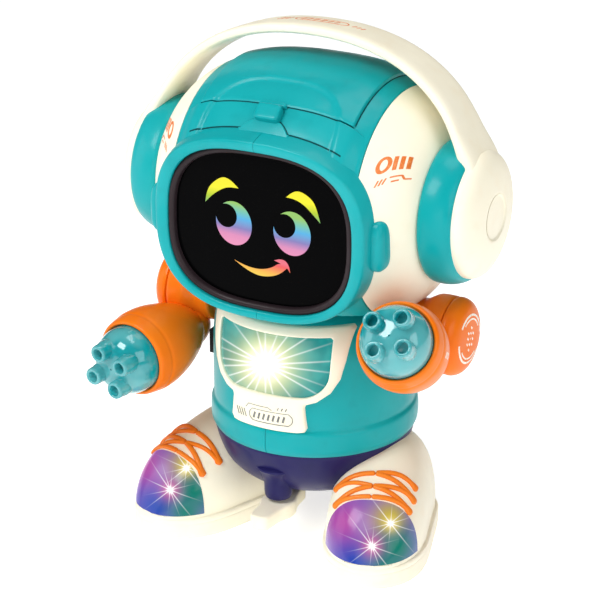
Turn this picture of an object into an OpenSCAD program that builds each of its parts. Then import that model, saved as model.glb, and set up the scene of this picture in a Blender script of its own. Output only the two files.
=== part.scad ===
// Toy robot: a round-headed dancing robot with headphones, a lamp in its chest,
// swinging arms with clear nozzle hands, and shoes that hide its driven wheels.
// Millimetres. The robot stands on z = 0, faces -Y, and its left side is +X.
// The origin is the centre of its footprint; the body's own axis stands at y = axis_y.

/* [Torso] */
// Outer radius of the barrel-shaped torso
torso_r = 44.5; // [44:0.25:45]
// Height of the joint between the torso and the base bowl
torso_base_z = 46; // [46:0.5:47]
// Height of the torso's top
torso_top_z = 109.5; // [109:0.25:109.5]
// Wall of the moulded body shells
wall = 2.2; // [2:0.1:2.4]

/* [Head] */
// Radius of the head about the line through the ears
head_r = 58; // [57:0.5:58]
// Height of the line through the ears
head_z = 154; // [154:0.5:155]
// Height of the flat underside of the head
head_base_z = 111.5; // [111.5:0.25:112]
// Half width of the teal band that runs over the head
band_half = 42.5; // [42:0.5:43]
// Half width and half height of the screen surround
bezel_a = 50; // [49:0.5:50]
bezel_b = 42.5; // [41.5:0.5:42.5]
// Half width and half height of the screen opening
screen_a = 43; // [42:0.5:43]
screen_b = 34.8; // [34:0.4:34.8]

/* [Headphones] */
// Half span of the headband, outside
arch_a = 76.4; // [76:0.2:77]
// Height of the headband above its own centre
arch_b = 63; // [62:0.5:64]
// Width of the headband, front to back
arch_w = 25.4; // [22:0.2:26]
// Thickness of the headband
arch_t = 5; // [4:0.5:5.5]

/* [Arms] */
// Height of the shoulder axis
shoulder_z = 97; // [96.5:0.5:97]
// Reach from the shoulder axis to the rim of the hand
reach = 53; // [52:0.5:54]
// Angle of the left arm above the horizontal
left_lift = 16.8; // [10:0.2:18]
// Angle of the right arm above the horizontal
right_lift = -19.7; // [-24:0.1:-10]

/* [Feet] */
// Half distance between the shoes, measured on the body's axis
shoe_x = 35.2; // [35:0.1:36]
// Angle by which each shoe toes out
toe_out = 18.4; // [17:0.2:19]
// Half width of a shoe
shoe_half_w = 23; // [22:0.5:23]
// Radius of a driven wheel over its tyre
tyre_r = 9.5; // [9.3:0.1:9.5]

/* [Hidden] */

$fn = 96;
axis_y = 5.78;       // the body's axis stands this far behind the origin
teal = [0, 0.64, 0.66];
cream = [1, 0.97, 0.9];
orange = [0.94, 0.44, 0.05];
navy = [0.14, 0.13, 0.36];
black = [0.05, 0.05, 0.06];
clear_teal = [0.3, 0.78, 0.8];
steel = [0.75, 0.76, 0.78];
board = [0.1, 0.45, 0.25];

axle_r = 3;          // arm axle
fit = 0.05;          // radial clearance of every shaft that turns
gap = 0.3;           // clearance between pieces that move past each other
neck_r = 12;         // neck post
boss_y = -33.9;      // front boss that carries the swing lever
lever_pin_r = 2.2;
drum_r = 17;
drum_in_r = 13.8;    // the drum is slimmer where the head comes down beside it
drum_x = [46.5, 66, 74];
pod_x = 63.9;        // rim of the hand, sideways from the body's axis
pod_pitch = 16.6;    // the forearm points this much above the line of the arm
pod_yaw = 7.9;       // and this much outwards
sole_h = 9;
wheel_at = [34, 6];  // wheel centre: sideways, and behind the body's axis
wheel_w = 8;
hub_r = 7.1;
wheel_axle_r = 1.5;
gear_m = 0.5;        // gear module
gear_teeth = 30;
pinion_teeth = 10;
gear_w = 3;
pinion_lift = 18;    // direction from the wheel's centre to the pinion
lens_top_z = 100.8;
lens_base_z = 74;
cell_r = 7.25;       // AA cell
cell_l = 50.5;
cell_z = [62, 77.6, 93.2];
cell_y = 23.5;

// Powers of a sine or cosine, keeping the sign: the corner rounding of a superellipse
function spow(v, p) = sign(v) * pow(abs(v), p);
function superellipse(a, b, n, steps) =
    [for (i = [0:steps - 1]) let (t = 360 * i / steps)
        [a * spow(cos(t), 2 / n), b * spow(sin(t), 2 / n)]];

// Everything on the body's axis
module on_axis() translate([0, axis_y, 0]) children();

// An outline drawn in x and z, carried from front y0 to back y1
module sideways_plate(y0, y1)
    translate([0, y1, 0]) rotate([90, 0, 0]) linear_extrude(y1 - y0) children();

// A round profile [radius, x] about a line that runs along X
module lathe_x(profile) rotate([0, 90, 0]) rotate_extrude() polygon(profile);

// ---------------------------------------------------------------- head

head_xs = [0, 9, 17, 24, 30.5, 37, band_half, 47, 51, 54.5, 57.5, 60, 61.8, 63];
function head_r_at(x) = head_r * pow(1 - pow(abs(x) / 66, 2.6), 1 / 2.6);
function head_line(x0, x1, d) =
    [for (x = concat([x0], [for (v = head_xs) if (v > x0 && v < x1) v], [x1]))
        [head_r_at(x) + d, x]];

// The head from x0 to x1, its surface moved out by d; x0 and x1 are on one side
module head_part(x0, x1, d)
    on_axis() translate([0, 0, head_z])
        lathe_x(concat([[0, x0]], head_line(x0, x1, d), [[0, x1]]));
module head_all(d) {
    head_part(0, 63, d);
    mirror([1, 0, 0]) head_part(0, 63, d);
}
module bezel_block(y0, y1, grow)
    on_axis() sideways_plate(y0, y1)
        translate([0, 151.9]) polygon(superellipse(bezel_a + grow, bezel_b + grow, 2.5, 56));
module screen_block(y0, y1, grow)
    on_axis() sideways_plate(y0, y1)
        translate([0, 148.8]) polygon(superellipse(screen_a + grow, screen_b + grow, 2.8, 56));
lug_z = [140.8, 156.8];
seam = 0.1;          // width of the seam in the screen surround
module bezel_lug(grow)
    on_axis() sideways_plate(-47, -37) {
        translate([46, lug_z[0]]) square([9.2 + grow, lug_z[1] - lug_z[0]]);
        translate([46, lug_z[0] - 3 - grow]) square([6.2, lug_z[1] - lug_z[0] + 6 + 2 * grow]);
        for (z = lug_z)
            translate([52.2, z]) circle(r = 3 + grow, $fn = 32);
    }
module below_head() translate([-90, -90, head_base_z - 60]) cube([180, 180, 60]);

module helmet() color(teal) difference() {
    head_part(0, band_half, 0);
    intersection() {
        head_part(-1, band_half + 1, -wall);
        translate([-2, -90, head_base_z + 2.5]) cube([90, 180, 120]);
    }
    below_head();
    bezel_block(-70, -37, 0);
    on_axis() translate([0, 0, 100]) cylinder(r = neck_r + fit, h = 20);
}
module helmet_left() helmet();
module helmet_right() mirror([1, 0, 0]) helmet();

module side_panel() color(cream) difference() {
    head_part(band_half, 63, 0);
    intersection() {
        head_part(band_half, 60.6, -wall);
        translate([0, -90, head_base_z + 2.5]) cube([90, 180, 120]);
    }
    below_head();
    bezel_block(-70, -37, 0);
    bezel_lug(0);
}
module side_panel_left() side_panel();
module side_panel_right() mirror([1, 0, 0]) side_panel();

// The two halves of the screen surround, which meet at the middle of the face
module screen_surround() color(teal) difference() {
    union() {
        bezel_block(-54, -37, 0);
        bezel_lug(0);
        mirror([1, 0, 0]) bezel_lug(0);
    }
    screen_block(-70, -30, 0);
    on_axis() translate([-60, -42, 100]) cube([120, 20, head_base_z - 100]);
    translate([-seam / 2, -90, 90]) cube([seam, 120, 120]);
}

// Raised panel that runs from the forehead over the top and down the back
module crown_panel() color(teal) difference() {
    intersection() {
        head_all(1.4);
        translate([-35, axis_y - 31, 128]) cube([70, 100, 100]);
    }
    head_all(0);
}
// Raised plate between the crown panel and the surround, with a clip block in its middle
module brow_plate() color(teal) difference() {
    union() {
        intersection() {
            head_all(1);
            translate([-32, axis_y - 41, 150]) cube([64, 9.4, 80]);
        }
        translate([-3.5, axis_y - 45, 186]) cube([7, 10, 13.5]);
    }
    head_all(0);
    bezel_block(-70, -37, 0);
}

module screen_gasket() color(black) difference() {
    screen_block(-51, -45, 0);
    screen_block(-60, -40, -2.8);
}
module face_screen() color(black) screen_block(-49.5, -47, -2.8);
module face_light_board() color(board) {
    screen_block(-46.4, -44.8, -6);
    // lamps behind the eyes and the mouth
    for (p = [[-13.8, 147.5], [13.8, 147.5], [0, 130]])
        on_axis() translate([p[0], -44.8, p[1]]) rotate([-90, 0, 0]) cylinder(r = 3, h = 3);
}

// ---------------------------------------------------------------- headphones

arch_foot = 8;       // angle at which the headband's feet end inside the ear pads
function arch_curve(a, b) =
    [for (i = [0:48]) let (t = arch_foot + (180 - 2 * arch_foot) * i / 48)
        [a * spow(cos(t), 0.905), b * spow(sin(t), 0.905)]];
function backwards(v) = [for (i = [len(v) - 1:-1:0]) v[i]];
module arch()
    on_axis() translate([0, 0, 161.8]) rotate([-5.2, 0, 0])
        sideways_plate(-arch_w / 2, arch_w / 2)
            polygon(concat(arch_curve(arch_a, arch_b),
                           backwards(arch_curve(arch_a - arch_t, arch_b - arch_t))));
module headband() color(cream) arch();

module ear_pad() color(teal) difference() {
    on_axis() translate([0, 0, head_z]) lathe_x(
        [[14, 63], [head_r_at(63), 63], [head_r_at(61.8), 61.8], [head_r_at(60.8), 60.8],
         [30.9, 62.4], [30.9, 65.5], [30.5, 69], [29.5, 72.5], [28.2, 75], [27.2, 76], [14, 76]]);
    arch();
}
module ear_pad_left() ear_pad();
module ear_pad_right() mirror([1, 0, 0]) ear_pad();

module ear_cap() color(cream) difference() {
    on_axis() translate([0, 0, head_z]) lathe_x(
        [[0, 76], [27, 76], [26.9, 77.8], [25.9, 79.9], [23.6, 81.8], [19.4, 83.3],
         [14.2, 84.1], [10, 84.4], [9.6, 83.8], [0, 83.8]]);
    on_axis() translate([0, 0, head_z]) lathe_x(
        [[0, 75], [24.4, 75], [24.4, 77.6], [22, 80], [15, 81.6], [0, 81.6]]);
    arch();
}
module ear_cap_left() ear_cap();
module ear_cap_right() mirror([1, 0, 0]) ear_cap();

// ---------------------------------------------------------------- torso

// The torso's profile, moved out by d
function torso_line(d) =
    [[torso_r - 0.3 + d, torso_base_z], [torso_r + 0.5 + d, 47.2], [torso_r + 1.2 + d, 55.6],
     [torso_r + 0.8 + d, 57.2], [torso_r - 0.4 + d, 58.4], [torso_r + d, 61],
     [torso_r + d, 86], [torso_r - 0.7 + d, 94], [torso_r - 2.2 + d, 101],
     [torso_r - 4.8 + d, 105.6 + d / 3], [torso_r - 8.6 + d, 108.5 + d],
     [torso_r - 13, torso_top_z + d]];
module torso_solid(d)
    on_axis() rotate_extrude()
        polygon(concat([[0, torso_base_z]], torso_line(d), [[0, torso_top_z + d]]));

// Outline of the lamp window in x and z: level top, round lower corners
lens_corner = 11;
module lens_outline(grow) {
    translate([-26.6 - grow, 88]) square([53.2 + 2 * grow, lens_top_z - 88 + grow]);
    translate([-15.2, lens_base_z - grow]) square([30.4, 20]);
    translate([-26.2 - grow, lens_base_z + lens_corner])
        square([52.4 + 2 * grow, 4]);
    for (s = [-1, 1])
        translate([s * 15.2, lens_base_z + lens_corner]) circle(r = lens_corner + grow, $fn = 64);
}
module lens_cut(grow) on_axis() sideways_plate(-70, 0) lens_outline(grow);

// The torso's hollow, made smaller all round by d
module torso_inside(d) rotate_extrude()
    polygon([[0, 45], [torso_r - wall - 0.3 - d, 45], [torso_r - wall - d, 60],
             [torso_r - wall - d, 93], [torso_r - wall - 2 - d, 100 - d],
             [torso_r - wall - 5 - d, 104 - d], [torso_r - wall - 12, 107 - d], [0, 107 - d]]);

door_half_w = 25;
door_z = [54, 101];
module door_cut(grow)
    on_axis() translate([-door_half_w - grow, 0, door_z[0] - grow])
        cube([2 * (door_half_w + grow), 70, door_z[1] - door_z[0] + 2 * grow]);

// Slot for the power switch's knob, which travels towards the robot's left
knob = [4.6, 7, 3.4];
knob_travel = 4;
module switch_slot() on_axis() translate([-3 - 0.4, 30, 48.6])
    cube([knob[0] + knob_travel + 0.8, 30, knob[2] + 0.8]);
module torso_half() color(teal) difference() {
    intersection() {
        torso_solid(0);
        translate([0, -60, 40]) cube([60, 130, 80]);
    }
    on_axis() torso_inside(0);
    on_axis() cylinder(r = neck_r, h = 130);
    on_axis() translate([30, 0, shoulder_z]) rotate([0, 90, 0])
        cylinder(r = axle_r + fit, h = 20);
    lens_cut(0);
    door_cut(0.2);
}
module torso_left() color(teal) difference() {
    torso_half();
    switch_slot();
}
module torso_right() color(teal) difference() {
    mirror([1, 0, 0]) torso_half();
    switch_slot();
}

// Cream surround of the lamp, with a name plate below it
module frame_outline() {
    polygon([[-32.9, 105], [32.9, 105], [31.2, 90], [29.6, 82], [26.4, 76], [21.6, 72.2],
             [16.6, 70.7], [17.4, 64], [17.9, 60], [16.8, 58], [14, 57.8], [-14, 57.8],
             [-16.8, 58], [-17.9, 60], [-17.4, 64], [-16.6, 70.7], [-21.6, 72.2],
             [-26.4, 76], [-29.6, 82], [-31.2, 90]]);
}
module chest_frame() color(cream) difference() {
    intersection() {
        torso_solid(1.7);
        on_axis() sideways_plate(-70, -20) frame_outline();
    }
    torso_solid(0);
    lens_cut(0);
}
module chest_lens() color(clear_teal) difference() {
    intersection() {
        torso_solid(0.8);
        on_axis() sideways_plate(-70, -20) lens_outline(-0.1);
    }
    torso_solid(-2);
}
module chest_reflector() color(steel) difference() {
    intersection() {
        torso_solid(-3);
        on_axis() translate([-23, -60, 75]) cube([46, 26, 25]);
    }
    on_axis() translate([0, -60, 87.4]) sphere(r = 24.5, $fn = 64);
    on_axis() translate([0, -20, 87.4]) rotate([90, 0, 0]) cylinder(r = 2.7, h = 40);
}
module chest_lamp_board() color(board) {
    on_axis() translate([-18, -33.8, 76]) cube([36, 1.6, 23]);
    on_axis() translate([0, -33.8, 87.4]) rotate([90, 0, 0]) cylinder(r = 2.5, h = 2.4);
}

module neck_post() color(black) on_axis() difference() {
    rotate_extrude()
        polygon([[0, 104], [15, 104], [15, 107], [neck_r, 107], [neck_r, torso_top_z],
                 [19, torso_top_z], [19, 111.2], [neck_r, 111.2], [neck_r, 114.4],
                 [15, 114.4], [15, 115.6], [neck_r, 118], [0, 118]]);
    // passage for the head's wires
    translate([0, 0, 100]) cylinder(r = 6, h = 30);
}

module shoulder_brackets() color(black)
    for (s = [0, 1]) mirror([s, 0, 0]) difference() {
        on_axis() translate([38, -9, 70]) cube([10.2, 18, 11]);
        torso_solid(0);
    }

// ---------------------------------------------------------------- inside the torso

box_y = [15, 31.4];
module battery_box() color(black) on_axis() difference() {
    intersection() {
        translate([-28, box_y[0], 53]) cube([56, box_y[1] - box_y[0], 49.4]);
        torso_inside(0.3);
    }
    translate([-26.4, box_y[0] + 1.2, 54.2]) cube([52.8, 30, 47]);
}
module batteries() color("gold") on_axis()
    for (z = cell_z)
        translate([-cell_l / 2, cell_y + 0.2, z]) rotate([0, 90, 0]) {
            cylinder(r = cell_r, h = cell_l - 1);
            translate([0, 0, cell_l - 1]) cylinder(r = 2.75, h = 1);
        }
module battery_contacts() color(steel) on_axis()
    for (z = cell_z)
        for (s = [-1, 1])
            translate([s > 0 ? cell_l / 2 : -26.4, cell_y - 5, z - 5])
                cube([26.4 - cell_l / 2, 10, 10]);

// Curved cover that clips into the torso's back
module battery_door() color(teal) difference() {
    intersection() {
        torso_solid(0.4);
        door_cut(0);
    }
    on_axis() translate([0, 0, 40]) cylinder(r = torso_r - wall, h = 80);
}
module main_board() color(board) on_axis() {
    translate([-22, 8, 56]) cube([44, 1.6, 46]);
    // processor and the amplifier
    translate([-8, 6.4, 78]) cube([12, 1.6, 12]);
    translate([8, 6.8, 62]) cube([7, 1.2, 9]);
}
module speaker() color(black) on_axis() translate([0, -2, 0]) rotate_extrude()
    polygon([[0, 23.4], [4, 25], [12.4, 24.2], [14, 24.2], [14, 27], [8, 31],
             [7, 34], [0, 34]]);
module power_switch() color(black) on_axis() translate([-5.6, 34, 46.6])
    cube([14, 5.4, 7.2]);
module switch_knob() color(black) on_axis() translate([-3, 39.7, 49])
    cube(knob);

// ---------------------------------------------------------------- base bowl and lever

function bowl_line(d) =
    [[22, 21 - d], [27 + d / 3, 22 - d], [32.2 + d / 2, 24.6 - d], [37 + d * 0.7, 28.4 - d * 0.7],
     [40.4 + d, 33 - d / 2], [42.6 + d, 39], [44.1 + d, torso_base_z]];
module bowl_solid(d)
    on_axis() rotate_extrude()
        polygon(concat([[0, 21 - d]], bowl_line(d), [[0, torso_base_z]]));

screw_at = [[20, 13], [-20, 13], [20, -12], [-20, -12]];
foot_screw_at = [29, -20];
module base_bowl() color(navy) difference() {
    union() {
        difference() {
            bowl_solid(0);
            translate([0, 0, 0.1]) bowl_solid(-wall);
        }
        intersection() {
            bowl_solid(0);
            on_axis() for (p = screw_at) translate([p[0], p[1], 20]) cylinder(r = 3.6, h = 14);
        }
        on_axis() translate([0, boss_y, 0]) rotate_extrude()
            polygon([[0, 19.8], [5.6, 19.8], [7, 20.6], [7.8, 22.4], [7.8, 34], [0, 34]]);
    }
    on_axis() {
        for (p = screw_at) translate([p[0], p[1], 10]) {
            cylinder(r = 1.4, h = 21);
            cylinder(r = 2.9, h = 13.4);
        }
        for (s = [-1, 1]) translate([s * foot_screw_at[0], foot_screw_at[1], 20])
            cylinder(r = 1.4, h = 20);
        translate([0, boss_y, 10]) cylinder(r = lever_pin_r, h = 18);
        // sound holes under the speaker
        for (a = [0:60:300]) rotate([0, 0, a]) translate([6.4, -2, 10])
            cylinder(r = 1.1, h = 20);
    }
}
module case_screws() color(steel) on_axis() {
    for (p = screw_at) translate([p[0], p[1], 0]) {
        translate([0, 0, 21.8]) cylinder(r = 2.6, h = 1.6);
        translate([0, 0, 23.4]) cylinder(r = 1.4, h = 7);
    }
    for (s = [-1, 1]) translate([s * foot_screw_at[0], foot_screw_at[1], 0]) {
        translate([0, 0, 18]) cylinder(r = 1.4, h = 16);
        translate([0, 0, 34]) cylinder(r = 2.6, h = 1.6);
    }
}
lever_z = [12.6, 19.4];
module lever_pin() color(steel) on_axis() translate([0, boss_y, 0]) {
    translate([0, 0, 10.6]) cylinder(r = 4, h = 1.7);
    translate([0, 0, 12.3]) cylinder(r = lever_pin_r, h = 14);
}
module swing_lever() color(cream) on_axis() difference() {
    translate([0, 0, lever_z[0]]) linear_extrude(lever_z[1] - lever_z[0]) {
        translate([0, boss_y]) circle(r = 7.2);
        translate([-4.6, -49]) square([9.2, 30]);
        translate([0, -49]) circle(r = 4.6);
        translate([0, -19]) circle(r = 4.6);
    }
    translate([0, boss_y, 0]) cylinder(r = lever_pin_r + fit, h = 30);
}

// ---------------------------------------------------------------- arms

module arm_place(lift) on_axis() translate([0, 0, shoulder_z]) rotate([-lift, 0, 0]) children();
// Along the forearm: the rim of the hand is at 0 and +Z points out of the hand
module pod_place()
    translate([pod_x, -reach, 0]) rotate([0, 0, pod_yaw]) rotate([90 - pod_pitch, 0, 0])
        children();
module drum_solid()
    lathe_x([[0, drum_x[0]], [drum_in_r, drum_x[0]], [drum_in_r, 52.8], [16.4, 57],
             [drum_r, 58.6], [drum_r, drum_x[1]], [0, drum_x[1]]]);
cap_line = [[0, drum_x[1]], [drum_r, drum_x[1]], [16.8, 68.4], [15.8, 70.8], [13.4, 72.8],
            [9.6, 73.8], [0, drum_x[2]]];
module shoulder_drum() color(orange) difference() {
    drum_solid();
    lathe_x([[axle_r, 48.8], [11.6, 48.8], [11.6, 53], [14.4, 58], [14.8, 67], [axle_r, 67]]);
    translate([40, 0, 0]) rotate([0, 90, 0]) cylinder(r = axle_r, h = 40);
}
module drum_cap() color(orange) difference() {
    lathe_x(cap_line);
    lathe_x([[0, 65], [14.6, 65], [14.2, 68], [11, 71], [0, 71.6]]);
}
module arm_axle() color(steel) translate([35.2, 0, 0]) rotate([0, 90, 0]) {
    cylinder(r = 5, h = 2.4);
    cylinder(r = axle_r, h = drum_x[1] - 35.2);
}
module forearm() color(orange) difference() {
    pod_place() rotate_extrude()
        polygon([[0, 0], [16.4, 0], [17.2, -0.7], [18.2, -6.2], [17.9, -6.6], [18.4, -7.2],
                 [18.7, -10], [18.2, -16.5], [16.4, -24.5], [13.6, -32.5], [11, -38],
                 [8.4, -42], [5, -44.6], [0, -45.4]]);
    pod_place() rotate_extrude()
        polygon([[0, 1], [15.2, 1], [15.2, -2.4], [13.6, -2.4], [16, -10], [15, -18],
                 [10, -23], [0, -24]]);
    drum_solid();
    lathe_x(cap_line);
}
nozzle_at = 6.1;
module hand_dome() color(clear_teal) pod_place() difference() {
    union() {
        difference() {
            rotate_extrude()
                polygon([[0, -2.4], [15.1, -2.4], [15.1, 1.4], [14.7, 4.4], [13.4, 7.8],
                         [11.2, 10.6], [8.2, 12.4], [4, 13.2], [0, 13.4]]);
            rotate_extrude()
                polygon([[0, -3], [13.4, -3], [13.2, 3.8], [12, 6.8], [10, 9.2],
                         [7.4, 10.8], [0, 11.6]]);
        }
        for (x = [-1, 1]) for (y = [-1, 1])
            translate([x * nozzle_at, y * nozzle_at, 7]) {
                cylinder(r = 4.1, h = 8.6);
                translate([0, 0, 8.6]) cylinder(r = 3.6, h = 1.4);
            }
    }
    for (x = [-1, 1]) for (y = [-1, 1])
        translate([x * nozzle_at, y * nozzle_at, 5]) cylinder(r = 2.3, h = 20);
}
module shoulder_drum_left() arm_place(left_lift) shoulder_drum();
module shoulder_drum_right() mirror([1, 0, 0]) arm_place(right_lift) shoulder_drum();
module drum_cap_left() arm_place(left_lift) drum_cap();
module drum_cap_right() mirror([1, 0, 0]) arm_place(right_lift) drum_cap();
module arm_axle_left() arm_place(left_lift) arm_axle();
module arm_axle_right() mirror([1, 0, 0]) arm_place(right_lift) arm_axle();
module forearm_left() arm_place(left_lift) forearm();
module forearm_right() mirror([1, 0, 0]) arm_place(right_lift) forearm();
module hand_dome_left() arm_place(left_lift) hand_dome();
module hand_dome_right() mirror([1, 0, 0]) arm_place(right_lift) hand_dome();

// ---------------------------------------------------------------- shoes

// A shoe's own directions: +x is its outer side, -y its toe, its middle on the body's axis
module shoe_place() on_axis() translate([shoe_x, 0, 0]) rotate([0, 0, toe_out]) children();
toe_y = -60;
heel_y = 24;
// Half width of the shoe at y, moved out by d: round toe, slightly narrower round heel
function plan(d) =
    let (w = shoe_half_w + d)
    concat([for (a = [0:12:180]) [w * cos(a), heel_y - 20 + (20 + d) * sin(a)]],
           [[-w, -22]],
           [for (a = [0:10:180]) [-w * cos(a), -24 - (36 + d) * pow(sin(a), 0.8)]],
           [[w, -22]]);
// Height of the shoe along its length, moved up by d
function upper(d) =
    [[heel_y + 1 + d, sole_h], [heel_y + 0.2 + d, 24], [heel_y - 3 + d, 36], [heel_y - 10, 43.4 + d],
     [4, 45.6 + d], [-8, 45.6 + d], [-18, 43.4 + d], [-28, 40 + d], [-37, 36.2 + d],
     [-43.6, 32.6 + d], [-48.6, 28.4 + d], [-53, 22.8 + d], [-56.6, 16.6 + d * 0.7],
     [toe_y - d, sole_h]];
module shoe_block(d) intersection() {
    translate([0, 0, sole_h]) linear_extrude(50) polygon(plan(d));
    translate([-40, 0, 0]) rotate([90, 0, 90]) linear_extrude(80) polygon(upper(d));
}
toe_line_y = -42.6;
module shoe() color(cream) difference() {
    shoe_place() difference() {
        shoe_block(0);
        intersection() {
            shoe_block(-2.4);
            translate([-40, -90, sole_h]) cube([80, 140, 60]);
        }
        translate([0, 0, sole_h - 1]) linear_extrude(1.2) polygon(plan(-2.4));
        translate([-18.6, toe_y - 6, 11]) cube([37.2, toe_line_y - toe_y + 6, 40]);
    }
    bowl_solid(gap);
}
module shoe_left() shoe();
module shoe_right() mirror([1, 0, 0]) shoe();

module toe_cap() color(clear_teal) shoe_place() difference() {
    intersection() {
        shoe_block(-0.1);
        translate([-18.5, toe_y - 6, 11.1]) cube([37, toe_line_y - toe_y + 5.9, 40]);
    }
    shoe_block(-2.2);
}
module toe_cap_left() toe_cap();
module toe_cap_right() mirror([1, 0, 0]) toe_cap();

// Flat laces with round ends, raised on the instep: two crossing pairs and one straight
module lace_strip(a, b) {
    w = 1.3;
    d = b - a;
    translate(a) rotate(atan2(d[1], d[0])) translate([0, -w]) square([norm(d), 2 * w]);
    translate(a) circle(r = w, $fn = 24);
    translate(b) circle(r = 2, $fn = 24);
}
module laces() color(orange) difference() {
    shoe_place() difference() {
        intersection() {
            shoe_block(1.1);
            translate([0, 0, 30]) linear_extrude(30)
                for (s = [-1, 1]) {
                    lace_strip([-s * 13, -22], [s * 17, -30]);
                    lace_strip([-s * 14, -30], [s * 17.6, -38.4]);
                }
        }
        shoe_block(0);
    }
    bowl_solid(gap);
}
module laces_left() laces();
module laces_right() mirror([1, 0, 0]) laces();

ear_x = [25.4, 41.2];
module sole() color(cream) difference() {
    union() {
        shoe_place() difference() {
            linear_extrude(sole_h) polygon(plan(0));
            translate([0, 0, 3]) linear_extrude(sole_h) polygon(plan(-2.4));
        }
        // bearings of the wheel axle, and the post that the foot screw holds
        for (x = ear_x) on_axis() translate([x, wheel_at[1] - 4, 2]) cube([2, 8, 12]);
        difference() {
            on_axis() translate([foot_screw_at[0], foot_screw_at[1], 2]) cylinder(r = 4, h = 34);
            bowl_solid(0);
        }
    }
    on_axis() {
        translate([ear_x[0] + 2, wheel_at[1] - tyre_r - 1, -1])
            cube([ear_x[1] - ear_x[0] - 2, 2 * tyre_r + 2, 10]);
        translate([20, wheel_at[1], tyre_r]) rotate([0, 90, 0])
            cylinder(r = wheel_axle_r, h = 30);
        translate([foot_screw_at[0], foot_screw_at[1], 18]) cylinder(r = 1.4, h = 30);
    }
}
module sole_left() sole();
module sole_right() mirror([1, 0, 0]) sole();

// ---------------------------------------------------------------- wheels and drive

// A spur gear with slim straight-sided teeth, one tooth pointing along +x
module gear_outline(teeth) {
    r = teeth * gear_m / 2;
    step = 360 / teeth;
    circle(r = r - 0.62);
    for (i = [0:teeth - 1]) rotate(i * step)
        polygon([[r - 0.8, -0.5], [r - 0.8, 0.5], [r, 0.3], [r + 0.42, 0.13],
                 [r + 0.42, -0.13], [r, -0.3]]);
}
wheel_mid_x = wheel_at[0] - 1.2;
gear_x = wheel_mid_x + wheel_w / 2;
gear_distance = gear_m * (gear_teeth + pinion_teeth) / 2 + 0.06;
module wheel_place() on_axis() translate([0, wheel_at[1], tyre_r]) children();
// Outlines drawn here have x towards the pinion
module facing_pinion() rotate([-pinion_lift, 0, 0]) rotate([0, 90, 0]) rotate([0, 0, -90])
    children();
module wheel() color(orange) wheel_place() difference() {
    union() {
        translate([wheel_mid_x - wheel_w / 2, 0, 0]) rotate([0, 90, 0])
            cylinder(r = hub_r, h = wheel_w);
        translate([gear_x, 0, 0]) facing_pinion() linear_extrude(gear_w) gear_outline(gear_teeth);
    }
    rotate([0, 90, 0]) cylinder(r = wheel_axle_r + fit, h = 60);
}
module tyre() color(black) wheel_place() translate([wheel_mid_x, 0, 0]) rotate([0, 90, 0])
    rotate_extrude()
        polygon([[hub_r, -4], [tyre_r - 0.6, -4], [tyre_r, -3.2], [tyre_r, 3.2],
                 [tyre_r - 0.6, 4], [hub_r, 4]]);
module pinion() color("white") wheel_place() {
    // half a tooth round, so that a gap meets the wheel's tooth
    translate([gear_x, 0, 0]) facing_pinion() translate([gear_distance, 0, 0])
        rotate([0, 0, 180 + 180 / pinion_teeth]) linear_extrude(gear_w)
            gear_outline(pinion_teeth);
    translate([gear_x + gear_w, 0, 0]) facing_pinion() translate([gear_distance, 0, 0])
        cylinder(r = 0.8, h = 43 - gear_x - gear_w);
}
module wheel_left() wheel();
module wheel_right() mirror([1, 0, 0]) wheel();
module tyre_left() tyre();
module tyre_right() mirror([1, 0, 0]) tyre();
module pinion_left() pinion();
module pinion_right() mirror([1, 0, 0]) pinion();
module wheel_motors() for (s = [0, 1]) mirror([s, 0, 0]) wheel_place() {
    color(steel) translate([43.4, 0, 0]) facing_pinion() translate([gear_distance, 0, 0])
        intersection() {
            cylinder(r = 7.6, h = 11);
            translate([-6, -8, 0]) cube([12, 16, 11]);
        }
    // the axle that the wheel turns on
    color(steel) translate([ear_x[0], 0, 0]) rotate([0, 90, 0])
        cylinder(r = wheel_axle_r, h = ear_x[1] + 2 - ear_x[0]);
}

helmet_left();
helmet_right();
side_panel_left();
side_panel_right();
screen_surround();
crown_panel();
brow_plate();
screen_gasket();
face_screen();
face_light_board();
headband();
ear_pad_left();
ear_pad_right();
ear_cap_left();
ear_cap_right();
torso_left();
torso_right();
chest_frame();
chest_lens();
chest_reflector();
chest_lamp_board();
neck_post();
shoulder_brackets();
battery_box();
batteries();
battery_contacts();
battery_door();
main_board();
speaker();
power_switch();
switch_knob();
base_bowl();
case_screws();
lever_pin();
swing_lever();
shoulder_drum_left();
shoulder_drum_right();
drum_cap_left();
drum_cap_right();
arm_axle_left();
arm_axle_right();
forearm_left();
forearm_right();
hand_dome_left();
hand_dome_right();
shoe_left();
shoe_right();
sole_left();
sole_right();
toe_cap_left();
toe_cap_right();
laces_left();
laces_right();
wheel_motors();
wheel_left();
wheel_right();
tyre_left();
tyre_right();
pinion_left();
pinion_right();
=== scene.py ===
# %% [markdown]
# # A round-headed toy robot with headphones
# The robot is a toy of glossy moulded shells. Its mechanical design is already packed as a
# fixed frame of named nodes, and this script gives it its looks. Each visible shell is made
# again as a smooth surface in the same place, and every node gets a procedural material.
# Lengths below are millimetres measured from the body's own axis, and one function turns
# them into the frame's metres.

# %% Load the frame
import math

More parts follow.
